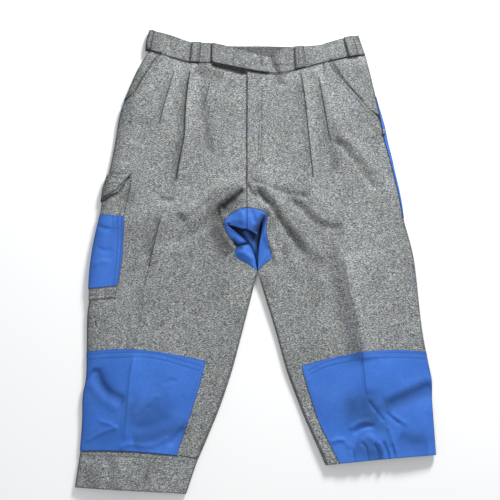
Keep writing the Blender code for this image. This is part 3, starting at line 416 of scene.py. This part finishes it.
class Shader:
    # A material and short ways to add nodes to it

    def __init__(self, name, **fixed):
        self.material = bpy.data.materials.new(name)
        self.material.use_nodes = True
        self.tree = self.material.node_tree
        self.surface = self.tree.nodes["Principled BSDF"]
        for key, value in fixed.items():
            self.surface.inputs[key.replace("_", " ")].default_value = value
        self.place = self.node("ShaderNodeTexCoord", {}, {}, "Object")

    def node(self, kind, settings, values, output):
        made = self.tree.nodes.new(kind)
        for key, value in settings.items():
            setattr(made, key, value)
        for key, value in values.items():
            if isinstance(value, Value):
                self.tree.links.new(value.socket, made.inputs[key])
            else:
                made.inputs[key].default_value = value
        return Value(self, made.outputs[output])

    def stretched(self, scale, turn=0.0):
        return self.node("ShaderNodeMapping", {}, {
            "Vector": self.place, "Scale": scale, "Rotation": (0, 0, turn)}, "Vector")

    def noise(self, scale, detail=2.0, roughness=0.5, place=None, distortion=0.0):
        return self.node("ShaderNodeTexNoise", {}, {
            "Vector": place or self.place, "Scale": scale, "Detail": detail,
            "Roughness": roughness, "Distortion": distortion}, "Fac")

    def wave(self, scale, direction, place=None):
        return self.node("ShaderNodeTexWave", {"bands_direction": direction, "wave_profile": "SIN"}, {
            "Vector": place or self.place, "Scale": scale, "Distortion": 0.0}, "Fac")

    def band(self, value, low, high, toLow=0.0, toHigh=1.0):
        return self.node("ShaderNodeMapRange", {"interpolation_type": "SMOOTHSTEP"}, {
            "Value": value, "From Min": low, "From Max": high, "To Min": toLow, "To Max": toHigh}, "Result")

    def blend(self, factor, a, b, way="MIX"):
        return self.node("ShaderNodeMix", {"data_type": "RGBA", "blend_type": way},
                         {"Factor": factor, 6: a, 7: b}, 2)

    def marked(self, name):
        return self.node("ShaderNodeAttribute", {"attribute_name": name}, {}, "Fac")

    def bump(self, height, distance, strength=1.0):
        return self.node("ShaderNodeBump", {}, {
            "Height": height, "Distance": distance, "Strength": strength}, "Normal")

    def feed(self, **inputs):
        for key, value in inputs.items():
            self.tree.links.new(value.socket, self.surface.inputs[key.replace("_", " ")])


def woolShader(name, tone=1.0):
    wool = {
        "dark": (0.035, 0.038, 0.044, 1), "grey": (0.21, 0.22, 0.222, 1), "light": (0.62, 0.64, 0.63, 1),
        # hollow: the near-black that the painted shade darkens toward
        "cool": (0.89, 0.91, 0.945, 1), "warm": (0.925, 0.925, 0.89, 1), "hollow": (0.008, 0.008, 0.009, 1),
        "fleck": 760.0, "fibre": 1500.0, "nap": 0.0007,
        "drift": 9.0, "clouds": 110.0, "tint": 70.0, "tufts": 90.0,   # more is finer
    }
    shader = Shader(name, Roughness=0.95, Sheen_Weight=0.10, Sheen_Roughness=0.5, Specular_IOR_Level=0.15)
    drift = 0.5 * shader.noise(wool["drift"], 3.0, 0.5) + 0.5 * shader.noise(wool["clouds"], 3.0, 0.6)
    along = shader.noise(wool["fleck"], 2.0, 0.65, shader.stretched((0.42, 1.0, 1.0), 0.18), 0.6)
    across = shader.noise(wool["fleck"], 2.0, 0.65, shader.stretched((0.62, 1.0, 1.0), -0.55), 0.6)
    fibre = shader.noise(wool["fibre"], 2.0, 0.6, shader.stretched((0.5, 1.0, 1.0), 0.8))
    fleck = 0.42 * along + 0.42 * across + 0.16 * fibre
    dark = shader.band(fleck, 0.40, 0.49)
    light = shader.band(fleck, 0.50, 0.60)
    colour = shader.blend(dark, wool["dark"], wool["grey"])
    colour = shader.blend(light * 0.85, colour, wool["light"])
    shade = shader.band(drift, 0.38, 0.62, 0.84 * tone, 1.10 * tone)
    colour = shader.blend(1.0, colour, shade, "MULTIPLY")
    warm = shader.band(shader.noise(wool["tint"], 4.0, 0.7), 0.42, 0.58)
    tint = shader.blend(warm, wool["cool"], wool["warm"])
    colour = shader.blend(1.0, colour, tint, "MULTIPLY")
    # painted shade, from the mark on each piece of cloth
    paintedShadeMark = shader.marked("paintedShade")
    colour = shader.blend(paintedShadeMark * 0.96, colour, wool["hollow"])
    nap = fleck + 0.5 * fibre + 0.25 * shader.noise(wool["tufts"], 3.0, 0.6)
    shader.feed(Base_Color=colour, Normal=shader.bump(nap, wool["nap"], 0.75))
    return shader.material


def blueShader():
    blue = {
        "deep": (0.018, 0.075, 0.34, 1), "plain": (0.040, 0.155, 0.56, 1), "faded": (0.062, 0.20, 0.66, 1),
        # stain is the colour of real stains; hollow is the near-black that the painted shade darkens toward
        "stain": (0.022, 0.080, 0.26, 1), "hollow": (0.004, 0.010, 0.035, 1),
        "threads": 260.0, "weave": 0.00022,
        "mottle": 26.0, "specks": 240.0, "cloud": 7.0, "lint": 1400.0, "patches": 60.0, "rumples": 70.0,
    }
    shader = Shader("blue_canvas", Roughness=0.75, Sheen_Weight=0.04, Sheen_Roughness=0.5,
                    Specular_IOR_Level=0.2)
    mottle = 0.6 * shader.noise(blue["mottle"], 4.0, 0.6) + 0.4 * shader.noise(blue["specks"], 3.0, 0.6)
    cloud = shader.noise(blue["cloud"], 2.0, 0.5)
    warp, weft = shader.wave(blue["threads"], "X"), shader.wave(blue["threads"], "Y")
    weave = 0.5 * warp + 0.5 * weft + 0.5 * shader.noise(blue["lint"], 2.0, 0.5)
    colour = shader.blend(shader.band(mottle, 0.35, 0.75), blue["plain"], blue["faded"])
    colour = shader.blend(shader.band(cloud, 0.25, 0.6, 0.30, 0.0), colour, blue["deep"])
    colour = shader.blend(shader.band(weave, 0.5, 1.2, 0.18, 0.0), colour, blue["deep"])
    patchy = shader.band(shader.noise(blue["patches"], 4.0, 0.65), 0.3, 0.6, 0.6, 1.0)
    colour = shader.blend(shader.marked("stain") * patchy, colour, blue["stain"])
    # painted shade, from the mark on each piece of cloth
    colour = shader.blend(shader.marked("paintedShade"), colour, blue["hollow"])
    height = weave + 2.6 * shader.noise(blue["rumples"], 4.0, 0.6)
    shader.feed(Base_Color=colour, Normal=shader.bump(height, blue["weave"], 0.8),
                Roughness=shader.band(mottle, 0.3, 0.7, 0.7, 0.56))
    return shader.material


def threadShader(name, colour):
    # the thread is painted darker between its plies, as shade
    thread = {"ply": 900.0, "relief": 0.0001, "between": 0.55}   # between: tone between the plies
    shader = Shader(name, Roughness=0.6, Sheen_Weight=0.2)
    ply = shader.wave(thread["ply"], "DIAGONAL")
    dark = tuple(thread["between"] * c for c in colour[:3]) + (1,)
    shader.feed(Base_Color=shader.blend(ply, dark, colour), Normal=shader.bump(ply, thread["relief"], 0.6))
    return shader.material


def metalShader():
    slider = {
        "dark": (0.05, 0.05, 0.05, 1), "bright": (0.34, 0.33, 0.32, 1), "grain": 500.0, "relief": 0.00005,
    }
    shader = Shader("zip_metal", Metallic=1.0)
    grain = shader.noise(slider["grain"], 4.0, 0.6)
    shader.feed(Base_Color=shader.blend(grain, slider["dark"], slider["bright"]),
                Roughness=shader.band(grain, 0.3, 0.7, 0.28, 0.5),
                Normal=shader.bump(grain, slider["relief"], 0.4))
    return shader.material


# the belt loops get a copy of the wool painted darker, as shade
materials = {"wool": woolShader("melange_wool"), "loop": woolShader("melange_wool_loop", 0.8),
             "blue": blueShader()}
greyThread = threadShader("grey_thread", (0.11, 0.115, 0.12, 1))
blueThread = threadShader("blue_thread", (0.014, 0.045, 0.17, 1))
lightThread = threadShader("light_thread", (0.42, 0.42, 0.40, 1))
metal = metalShader()

# Painted shade and real stains, marked from 0 to 1 on each piece of cloth

paintedShading = {
    # wool and blue: strength of the painted shade along the rims
    "wool": 0.52, "blue": 0.45, "reach": 0.0012, "shortEdge": 0.003,   # rims, reach and edges in metres
    # painted shade along the rims of the belt loops, and its reach in metres
    "loop": 0.75, "loopReach": 0.0024,
    "inside": 0.6, "insideTop": 6.4, "insideFade": 1.5,   # shade inside the waist, millimetres of height
    "insideHalf": 110.0, "insideEnd": 20.0,               # and along the band
    # band: painted shade over the whole waistband; gussetBack: painted shadow over the back of the gusset
    "band": 0.18, "gussetBack": 0.97,
    "foot": 4.0, "footFade": 3.0,                         # shade and dips grow from this height up
    # painted shade along the stitch rows of wool and blue, its reach and how far the cloth sinks there, in
    # millimetres
    "seamWool": 0.4, "seamBlue": 0.2, "seamReach": 1.1, "seamDip": 0.35,
}
lineEnd, seamEnd = 4.0, 3.0   # length over which a dark line and a row of stitches die out

# centre x and y, half sizes along and across, turn in degrees, strength
Stain = namedtuple("Stain", "x y long wide turn strength")
stains = (
    Stain(-166, -274, 42, 27, 12, 0.7), Stain(-190, -252, 14, 22, 0, 0.4), Stain(-146, -228, 18, 24, 0, 0.2),
    Stain(-240, -236, 26, 34, 20, 0.3), Stain(-230, -306, 34, 14, 0, 0.3),
    Stain(183, -264, 36, 24, 20, 1.0), Stain(206, -286, 26, 14, -30, 0.6),
    Stain(168, -246, 18, 14, 30, 0.35),
    Stain(180, -186, 26, 8, 12, 0.3), Stain(252, -248, 50, 11, 20, 0.5), Stain(268, -310, 32, 14, 4, 0.4),
    Stain(196, -328, 36, 14, 0, 0.45), Stain(-262, 20, 14, 20, 0, 0.12),
)


def mark(piece, name, values):
    attribute = piece.data.attributes.new(name, "FLOAT", "POINT")
    attribute.data.foreach_set("value", values.astype(np.float32))


def soil(x, y):
    total = np.zeros(len(x))
    for s in stains:
        c, d = math.cos(math.radians(s.turn)), math.sin(math.radians(s.turn))
        u, v = (x - s.x) * c + (y - s.y) * d, (y - s.y) * c - (x - s.x) * d
        total += s.strength * np.exp(-((u / s.long) ** 2 + (v / s.wide) ** 2) ** 1.5)
    return np.clip(total, 0.0, 1.0)


def rim(name, reach):
    # How close each point is to the edge of its piece, from 0 to 1
    bm = solidFaces(name)
    co = places(cloth[name].data)[:, :2]
    near = np.full(len(co), farAway)
    for e in rimEdges(bm):
        a, b = (np.array(v.co[:2]) for v in e.verts)
        ab = b - a
        size = ab @ ab
        if size < paintedShading["shortEdge"] ** 2:
            continue
        t = np.clip(((co - a) @ ab) / size, 0.0, 1.0)
        near = np.minimum(near, np.hypot(*(co - a - t[:, None] * ab).T))
    bm.free()
    return np.exp(-(near / reach) ** 2)


# strength, reach and path of the lines of painted shade where one layer of cloth meets another and in the
# deepest folds
Contact = namedtuple("Contact", "name strength reach path")
contacts = (
    Contact("right outer pleat", 0.7, 1.2, ((-134, 326), (-140, 300), (-150, 262), (-158, 226))),
    Contact("right inner pleat", 1.0, 1.3, (
        (-106, 326), (-110, 290), (-113, 250), (-114, 205), (-120, 165), (-127, 122))),
    Contact("right small pleat", 0.5, 1.1, ((-71, 304), (-73, 290), (-80, 266))),
    Contact("left inner pleat", 1.0, 1.3, ((89, 322), (94, 290), (99, 240), (103, 190), (109, 124))),
    Contact("left outer pleat", 0.95, 1.2, ((121, 312), (128, 270), (133, 236), (138, 204), (142, 192))),
    Contact("fly", 0.85, 0.9, ((-5, 322), (-6, 240), (-5, 128))),
    Contact("crotch seam", 0.6, 1.2, ((-5, 128), (-5, 73))),
    Contact("right pocket mouth", 0.97, 1.5, (
        (-158, 364), (-160, 359), (-177, 336), (-188, 317), (-203, 287))),
    Contact("left pocket mouth", 1.0, 2.3, ((141, 350), (145, 343), (165, 310), (182, 288), (200, 267))),
    Contact("waist seam, right", 0.9, 1.6, (
        (-186, 366), (-160, 358), (-133, 348), (-106, 341), (-68, 341))),
    Contact("under the tab", 1.0, 2.8, ((-70, 338), (-40, 331), (-5, 322))),
    Contact("waist seam, left", 0.9, 1.5, (
        (-5, 326), (39, 319), (63, 321), (88, 328), (133, 341), (177, 352), (207, 356))),
    Contact("end of the tab", 0.8, 1.3, ((-68.5, 378), (-68.5, 339))),
    Contact("crotch fold", 0.97, 4.2, ((-10, 107), (-26, 94), (-40, 85), (-52, 74), (-50, 58))),
    Contact("crotch fold, middle", 1.0, 6.5, ((-22, 94), (-36, 85), (-49, 74))),
    Contact("crotch fold, corner", 1.0, 7.5, ((-38, 80), (-49, 72))),
    Contact("crotch fold, left", 0.66, 3.4, ((14, 105), (26, 89), (38, 73), (52, 51))),
    Contact("crotch fold, left below", 0.22, 6.0, ((44, 64), (60, 40), (80, 14), (100, -12))),
    Contact("upper line, left", 0.5, 2.6, ((1, 126), (21, 117), (48, 105), (70, 98))),
    Contact("small fold at the fly end", 0.7, 2.0, ((-4, 120), (2, 104), (13, 93))),
    Contact("by the gusset, right", 0.6, 3.0, ((-50, 62), (-47, 50), (-43, 42))),
    Contact("flap", 0.9, 1.4, ((-205, 134), (-216, 115), (-224, 103), (-241, 95), (-255, 85))),
    Contact("under the flap", 0.97, 3.0, ((-224, 101), (-241, 93), (-255, 83))),
    Contact("top of the flap", 0.6, 0.9, ((-248, 135), (-213, 134), (-205, 135))),
    Contact("pressed line, right", 0.55, 1.5, ((-149, 61), (-158, 22), (-165, -12), (-169, -32))),
    Contact("pressed line, lower right", 0.25, 1.6, ((-169, -32), (-174, -53), (-177, -71), (-179, -106))),
    Contact("pressed line, left", 0.30, 1.3, ((156, -6), (161, -40), (167, -78), (176, -112), (188, -172))),
    Contact("front of the thigh pocket", 0.62, 1.2, ((-204, 130), (-207, 105), (-211, 82), (-215, 61))),
    Contact("thigh pocket, lower rows", 0.45, 0.8, ((-270, -76), (-226, -75))),
    Contact("thigh pocket, corner", 0.45, 0.8, ((-225, -84), (-224, -68))),
    Contact("hem, third right", 0.4, 1.6, ((-162, -344), (-164, -360), (-169, -384))),
)


# painted soft, broad shade of the folds and of the sides of the legs
shades = (
    Contact("side of the right leg", 0.5, 17.0, (
        (-190, 372), (-214, 300), (-238, 193), (-250, 140), (-262, 60), (-274, 0), (-280, -80), (-276, -171),
        (-280, -237), (-284, -330), (-294, -410))),
    Contact("right of the gusset", 0.66, 15.0, ((-58, 66), (-58, 42), (-50, 15), (-34, -10))),
    Contact("wide shade of the crotch, right", 0.20, 28.0, ((-90, 56), (-130, 40), (-180, 30))),
    Contact("wide shade of the crotch, left", 0.18, 26.0, ((58, 84), (88, 48), (118, 14), (134, -30))),
    Contact("by the gusset, left", 0.36, 9.0, ((26, 66), (42, 54), (46, 36))),
    Contact("crotch, right of the fold", 0.5, 12.0, ((-76, 72), (-60, 72), (-44, 80))),
    Contact("inner cloth of the crotch", 0.46, 13.0, ((-12, 92), (-26, 78), (-38, 64))),
    Contact("inner cloth, left of the seam", 0.16, 9.0, ((6, 96), (10, 84))),
    Contact("across the pressed line", 0.36, 5.0, ((-172, 49), (-160, 50), (-152, 54))),
    Contact("left of the pressed line", 0.26, 9.0, ((-156, 56), (-164, 22), (-170, -14))),
    Contact("top of the inner leg, left", 0.34, 9.0, ((22, -40), (30, -62), (38, -84))),
    Contact("second trough, right", 0.28, 5.0, ((-64, 92), (-75, 81), (-89, 68), (-104, 55))),
    Contact("third trough, right", 0.36, 6.0, ((-52, 68), (-71, 51), (-83, 39), (-106, 24))),
    Contact("low trough, right", 0.26, 9.0, ((-36, -52), (-66, -86), (-96, -112))),
    Contact("above the panel", 0.34, 12.0, ((-226, 98), (-196, 92))),
    Contact("end of the inner pleat", 0.46, 4.5, ((-154, 93), (-142, 89), (-127, 89))),
    Contact("below the small pleat", 0.24, 11.0, ((-80, 300), (-78, 240), (-70, 170))),
    Contact("across the right thigh", 0.20, 20.0, ((-235, 40), (-190, 28), (-150, 34), (-118, 40))),
    Contact("upper flank, left", 0.24, 8.0, (
        (40, 116), (62, 104), (84, 88), (104, 66), (124, 46), (158, 22))),
    Contact("left thigh hollow", 0.16, 16.0, ((60, 40), (82, 0), (100, -40), (120, -90))),
    Contact("side trough, left", 0.42, 6.0, ((92, 68), (110, 52), (125, 41), (140, 38), (156, 41))),
    Contact("soft hollow, left", 0.16, 9.0, ((68, 80), (92, 66))),
    Contact("flank of the left crease", 0.40, 13.0, (
        (140, -6), (148, -50), (155, -90), (164, -128), (176, -186))),
    Contact("hip fold, left", 0.26, 8.0, ((146, 190), (164, 172), (184, 146), (204, 114))),
    Contact("beside the left outer pleat", 0.38, 8.0, (
        (124, 300), (132, 250), (138, 216), (145, 180), (150, 140))),
    Contact("under the waist, right", 0.46, 15.0, ((-98, 332), (-78, 322), (-46, 312))),
    Contact("buckle of the band", 0.50, 8.0, ((39, 361), (44, 342), (51, 318), (56, 296))),
    Contact("end of the band, right", 0.25, 14.0, ((-176, 398), (-172, 378), (-180, 356))),
    Contact("under the waist, left", 0.26, 16.0, (
        (146, 330), (176, 322), (206, 316), (220, 250), (226, 190))),
    Contact("left third of the hem", 0.34, 14.0, ((-262, -350), (-254, -372), (-250, -410))),
    Contact("under the tab, low", 0.22, 14.0, ((-44, 300), (-22, 294))),
    Contact("beside the outer pleat, left", 0.34, 10.0, ((146, 230), (150, 200), (156, 176))),
    Contact("hip, left", 0.16, 22.0, ((196, 300), (210, 230), (222, 150))),
    Contact("low on the knee, right", 0.42, 13.0, ((-188, -316), (-160, -308), (-120, -298), (-96, -292))),
    Contact("low on the knee, left", 0.30, 15.0, ((166, -322), (190, -330), (214, -338))),
    Contact("low at the side, left", 0.26, 13.0, ((238, -306), (262, -320), (288, -324))),
    Contact("knee trough, right", 0.34, 9.0, ((-251, -198), (-243, -219), (-229, -236), (-201, -254))),
    Contact("hook at the knee, right", 0.5, 3.0, ((-272, -222), (-265, -212), (-257, -204), (-250, -201))),
    Contact("knee trough, left", 0.36, 13.0, ((303, -224), (267, -236), (237, -249), (217, -257))),
    Contact("side of the left leg", 0.16, 12.0, (
        (262, 60), (282, -60), (290, -160), (304, -230), (304, -340))),
    Contact("by the inner pleat, right", 0.20, 7.0, ((-116, 318), (-120, 260), (-124, 200), (-130, 140))),
    Contact("by the inner pleat, left", 0.20, 6.0, ((88, 300), (92, 250), (97, 200), (104, 140))),
)
# lines of painted shade on the gusset
gussetContacts = (
    Contact("centre seam", 0.7, 0.7, ((-5, 73), (-5, 34))),
    Contact("fold on the right half", 0.97, 2.6, ((-29, 14), (-19, 8), (-8, 10), (2, 14))),
    Contact("below the fold on the right half", 0.8, 4.5, ((-26, 9), (-17, 4), (-10, 5))),
    Contact("hollow on the left half", 0.88, 8.0, ((26, 62), (21, 50), (14, 36), (12, 28))),
    Contact("meeting of the halves", 0.6, 0.8, ((11, 4), (12, -18), (12, -36))),
    Contact("curl of the right half", 0.75, 3.0, ((-41, 47), (-36, 45), (-31, 42))),
    Contact("lower hollow", 0.75, 6.0, ((-32, 20), (-24, 6), (-12, 6))),
    Contact("lower edge of the right half", 0.42, 9.0, ((-36, -8), (-16, -22), (0, -32))),
    Contact("rim, right", 0.5, 2.2, ((-38, 42), (-29, 34), (-13, 21), (1, 7), (9, -13))),
    Contact("rim, upper", 0.5, 2.2, ((-31, 43), (-15, 36), (-5, 35), (3, 32), (12, 26))),
)
# the lit inner fold, where the painted shadow over the back of the gusset is taken off
innerFold = (
    Contact("inner fold", 0.86, 3.0, ((-11, 35), (-4, 26), (3, 16), (9, 5), (12, -10), (12, -36))),
)


def contactAt(lines, x, y):
    total = np.zeros(len(x))
    for c in lines:
        line = Crease(c.name, c.strength, c.reach, c.reach, lineEnd, False, c.path)
        total = np.maximum(total, creaseHeight(line, x, y))
    return total


# which thread, the length of a stitch, the path
Row = namedtuple("Row", "name thread stitch path")
rows = (
    Row("fly", "grey", 2.6, ((15, 316), (16, 240), (14.5, 172), (11, 156), (4, 144), (-5, 131))),
    Row("fly, second", "grey", 2.6, ((20, 314), (21, 240), (19.5, 176), (16, 158), (8, 144))),
    Row("right pocket mouth", "grey", 2.6, (
        (-150, 352), (-154, 349), (-171, 329), (-182, 312), (-197, 283))),
    Row("left pocket mouth", "grey", 2.6, ((140, 338), (159, 307), (176, 284), (205, 249))),
    Row("right front loop, first", "grey", 2.4, ((-102, 342), (-102, 378))),
    Row("right front loop, second", "grey", 2.4, ((-93, 342), (-93, 378))),
    Row("left front loop, first", "grey", 2.4, ((86, 329), (86, 369))),
    Row("left front loop, second", "grey", 2.4, ((94, 331), (94, 369))),
    Row("right knee, first", "blue", 2.4, ((-268, -176), (-214, -173), (-154, -175), (-79, -195))),
    Row("right knee, second", "blue", 2.4, ((-268, -184), (-213, -181), (-154, -183), (-81, -203))),
    Row("right knee side", "blue", 2.4, ((-79, -194), (-93, -242), (-121, -333))),
    Row("left knee, first", "blue", 2.4, ((93, -203), (131, -186), (191, -176), (240, -173), (291, -175))),
    Row("left knee, second", "blue", 2.4, ((95, -210), (131, -194), (190, -184), (240, -181), (291, -183))),
    Row("left knee side", "blue", 2.4, ((91, -206), (104, -246), (147, -345))),
    Row("right gusset, first", "blue", 2.2, ((-37, -12), (-22, -19), (-8, -27), (8, -38))),
    Row("right gusset, second", "blue", 2.2, ((-35, -6), (-20, -13), (-6, -21), (8, -31))),
    Row("left gusset, first", "blue", 2.2, ((42, -12), (30, -21), (18, -34))),
    Row("left gusset, second", "blue", 2.2, ((38, -7), (28, -15), (18, -27))),
    Row("thigh panel, first", "blue", 2.4, ((-226, 60), (-224, 7), (-228, -64))),
    Row("thigh panel, second", "blue", 2.4, ((-219, 60), (-218, 7), (-222, -64))),
    Row("thigh panel, third", "blue", 2.4, ((-234, 60), (-233, 40))),
    Row("thigh panel, across", "blue", 2.4, ((-262, 42), (-243, 38), (-220, 36))),
    Row("thigh pocket, above the panel", "light", 2.4, ((-209, 119), (-212, 98), (-215, 77), (-218, 64))),
    Row("thigh pocket, below, first", "grey", 2.4, ((-268, -71), (-226, -69))),
    Row("thigh pocket, below, second", "grey", 2.4, ((-268, -78), (-226, -76))),
    Row("flap", "grey", 2.4, ((-207, 130), (-219, 113), (-227, 106), (-243, 100), (-254, 92))),
    Row("hem, right", "grey", 2.6, ((-276, -336), (-190, -338), (-96, -348))),
)


def seamDip(x, y, kind):
    # How near a point is to a row of stitches in this cloth, from 0 to 1
    total = np.zeros(len(x))
    reach = paintedShading["seamReach"]
    for row in rows:
        if (row.thread == "blue") == (kind == "blue") and "side" not in row.name:
            line = Crease(row.name, 1.0, reach, reach, seamEnd, False, row.path)
            total = np.maximum(total, creaseHeight(line, x, y))
    return total


# Painted shade: each piece gets a mark from 0 to 1 that darkens its colour toward near black. It comes from
# the piece's rims, the lines where cloth meets cloth, the broad shades, the inside of the waist, the back of
# the gusset and the stitch rows. The knee patches and the thigh panel also get their real stains.
for name, piece in cloth.items():
    kind = pieces[name].cloth
    piece.data.materials.append(materials[kind])
    co = places(piece.data)
    x, y, z = onPlan(co)
    onTop = smooth((z - paintedShading["foot"]) / paintedShading["footFade"])
    if name.startswith(("knee", "cargo_panel")):
        mark(piece, "stain", soil(x, y))
    # painted shade along the rims of each piece, where the cloth rounds away or meets another layer
    paintedShade = paintedShading["blue" if kind == "blue" else "wool"] * rim(name, paintedShading["reach"])
    # painted soft shade of the folds and of the sides of the legs
    shade = contactAt(shades, x, y) * onTop
    if kind == "loop":
        paintedShade = np.maximum(paintedShade, paintedShading["loop"] * rim(name, paintedShading["loopReach"]))
    elif kind == "wool" and not name.startswith("back"):
        paintedShade = np.maximum(paintedShade, contactAt(contacts, x, y))
    elif name.startswith("gusset"):
        paintedShade = np.maximum(paintedShade, contactAt(gussetContacts, x, y))
    # painted shadow over the back of the gusset, seen through its opening, except along the lit inner fold
    if name == "gusset_back":
        paintedShade = np.maximum(paintedShade, paintedShading["gussetBack"] - contactAt(innerFold, x, y))
    # painted shade on the waistband's inner face low down in the middle, and a lighter painted shade over
    # the whole band
    if name.startswith("waistband"):
        low = smooth((paintedShading["insideTop"] - z) / paintedShading["insideFade"])
        middlePart = smooth((paintedShading["insideHalf"] - np.abs(x)) / paintedShading["insideEnd"])
        paintedShade = np.maximum(paintedShade, paintedShading["inside"] * low * middlePart)
        shade = 1.0 - (1.0 - shade) * (1.0 - paintedShading["band"] * onTop)
    # painted shade along the stitch rows, where the cloth is also sunk
    if not name.startswith("back"):
        sunk = seamDip(x, y, kind)
        paintedShade = np.maximum(paintedShade, paintedShading["seamBlue" if kind == "blue" else "seamWool"] * sunk)
        co[:, 2] -= paintedShading["seamDip"] * sunk * onTop * millimetre
        setPlaces(piece.data, co)
    mark(piece, "paintedShade", 1.0 - (1.0 - paintedShade) * (1.0 - shade))
print("materials made")


# Stitching, laid on the top of the cloth along paths

sewing = {
    "gap": 1.1, "start": 0.6,              # millimetres between stitches, share of a step before the first
    "radius": 0.00032, "sink": 0.9,        # metres, share of the radius that its ends go into the cloth
    "above": 0.1, "flattest": 0.3,         # metres from which the cloth is felt for, least upward turn
    "around": 6, "rings": 6,               # faces round a stitch and along it
}


def stitchRow(row, top, out):
    path = [Vector((p[0], p[1], 0)) for p in curve(row.path, 12)]
    step = row.stitch + sewing["gap"]
    walked, wanted = 0.0, sewing["start"] * step
    for a, b in zip(path, path[1:]):
        length = (b - a).length
        while wanted < walked + length:
            p = a.lerp(b, (wanted - walked) / length)
            start = Vector(((p.x - middle[0]) * millimetre, (p.y - middle[1]) * millimetre, sewing["above"]))
            spot, normal, _, _ = top.ray_cast(start, Vector((0, 0, -1)))
            if spot is not None and normal.z > sewing["flattest"]:
                out.append((spot, normal, (b - a).normalized(), row.stitch * millimetre))
            wanted += step
        walked += length


def stitchMesh(name, stitches, material):
    # Short lengths of thread whose ends sink into the cloth
    radius = sewing["radius"]
    bm = bmesh.new()
    for spot, normal, way, length in stitches:
        along = (way - normal * way.dot(normal)).normalized()
        axes = Matrix((along, normal.cross(along), normal)).transposed().to_4x4()
        size = Matrix.Diagonal((length / 2, radius, radius, 1.0))
        made = bmesh.ops.create_uvsphere(bm, u_segments=sewing["around"], v_segments=sewing["rings"],
                                         radius=1.0, matrix=Matrix.Translation(spot) @ axes @ size)
        for v in made["verts"]:
            end = (v.co - spot).dot(along) / (length / 2)
            v.co -= normal * radius * sewing["sink"] * end * end
    mesh = bpy.data.meshes.new(name)
    bm.to_mesh(mesh)
    bm.free()
    mesh.materials.append(material)
    mesh.shade_smooth()
    made = bpy.data.objects.new(name, mesh)
    bpy.context.scene.collection.objects.link(made)
    return made


verts, polygons = [], []
for piece in cloth.values():
    first = len(verts)
    verts += [v.co.copy() for v in piece.data.vertices]
    polygons += [[first + k for k in polygon.vertices] for polygon in piece.data.polygons]
top = BVHTree.FromPolygons(verts, polygons)
threads = {}
for thread, material in (("grey", greyThread), ("light", lightThread), ("blue", blueThread)):
    stitches = []
    for row in rows:
        if row.thread == thread:
            stitchRow(row, top, stitches)
    threads[thread] = stitchMesh("stitching_" + thread, stitches, material)
    print(thread, "stitches", len(stitches))
print("stitching made")


# Zip at the left hip

nodes["zip_slider"].data.materials.clear()
nodes["zip_slider"].data.materials.append(metal)


# What each piece rides on

for name, piece in cloth.items():
    fact = pieces[name]
    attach(piece, "root")
    "canvas" if fact.cloth == "blue" else "wool"
for thread, slot in (("grey", "wool"), ("light", "wool"), ("blue", "canvas")):
    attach(threads[thread], "root")


# Floor, light and camera

def floor():
    paper = {"half": 3.0, "drop": 0.0004, "colour": (0.86, 0.86, 0.86, 1), "pale": (0.88, 0.88, 0.88, 1)}
    bm = bmesh.new()
    bmesh.ops.create_grid(bm, x_segments=1, y_segments=1, size=paper["half"])
    bmesh.ops.translate(bm, vec=(0, 0, -paper["drop"]), verts=bm.verts)
    mesh = bpy.data.meshes.new("floor")
    bm.to_mesh(mesh)
    bm.free()
    made = bpy.data.objects.new("floor", mesh)
    bpy.context.scene.collection.objects.link(made)
    shader = Shader("floor", Roughness=0.9)
    shader.feed(Base_Color=shader.blend(shader.noise(4.0), paper["colour"], paper["pale"]))
    mesh.materials.append(shader.material)


def lamp(name, place, size, power):
    light = bpy.data.lights.new(name, "AREA")
    light.shape = "DISK"
    light.size = size
    light.energy = power
    made = bpy.data.objects.new(name, light)
    made.location = place
    made.rotation_euler = (-Vector(place)).to_track_quat("-Z", "Y").to_euler()
    bpy.context.scene.collection.objects.link(made)


# place, size and power of the lamps; colour and strength of the light all round
studio = {
    "key": ((0.8, 1.6, 0.9), 0.5, 62.0), "fill": ((-0.6, -0.8, 2.2), 1.8, 14.0),
    "sky": (0.96, 0.98, 1.0, 1), "skyStrength": 0.42,
}
floor()
lamp("key", *studio["key"])
lamp("fill", *studio["fill"])
world = bpy.data.worlds.new("studio")
world.use_nodes = True
background = world.node_tree.nodes["Background"]
background.inputs["Color"].default_value = studio["sky"]
background.inputs["Strength"].default_value = studio["skyStrength"]
bpy.context.scene.world = world
bpy.context.scene.view_settings.view_transform = "Standard"

view = {"aim": (-0.0098, -0.004, 0.008), "away": 1.35, "tilt": 12.0, "lens": 57.5}
tilt = math.radians(view["tilt"])
camera = bpy.data.cameras.new("camera")
camera.lens = view["lens"]
camera.dof.use_dof = False
cameraObject = bpy.data.objects.new("camera", camera)
cameraObject.location = Vector(view["aim"]) + view["away"] * Vector((0, -math.sin(tilt), math.cos(tilt)))
cameraObject.rotation_euler = (tilt, 0, 0)
bpy.context.scene.collection.objects.link(cameraObject)
bpy.context.scene.camera = cameraObject
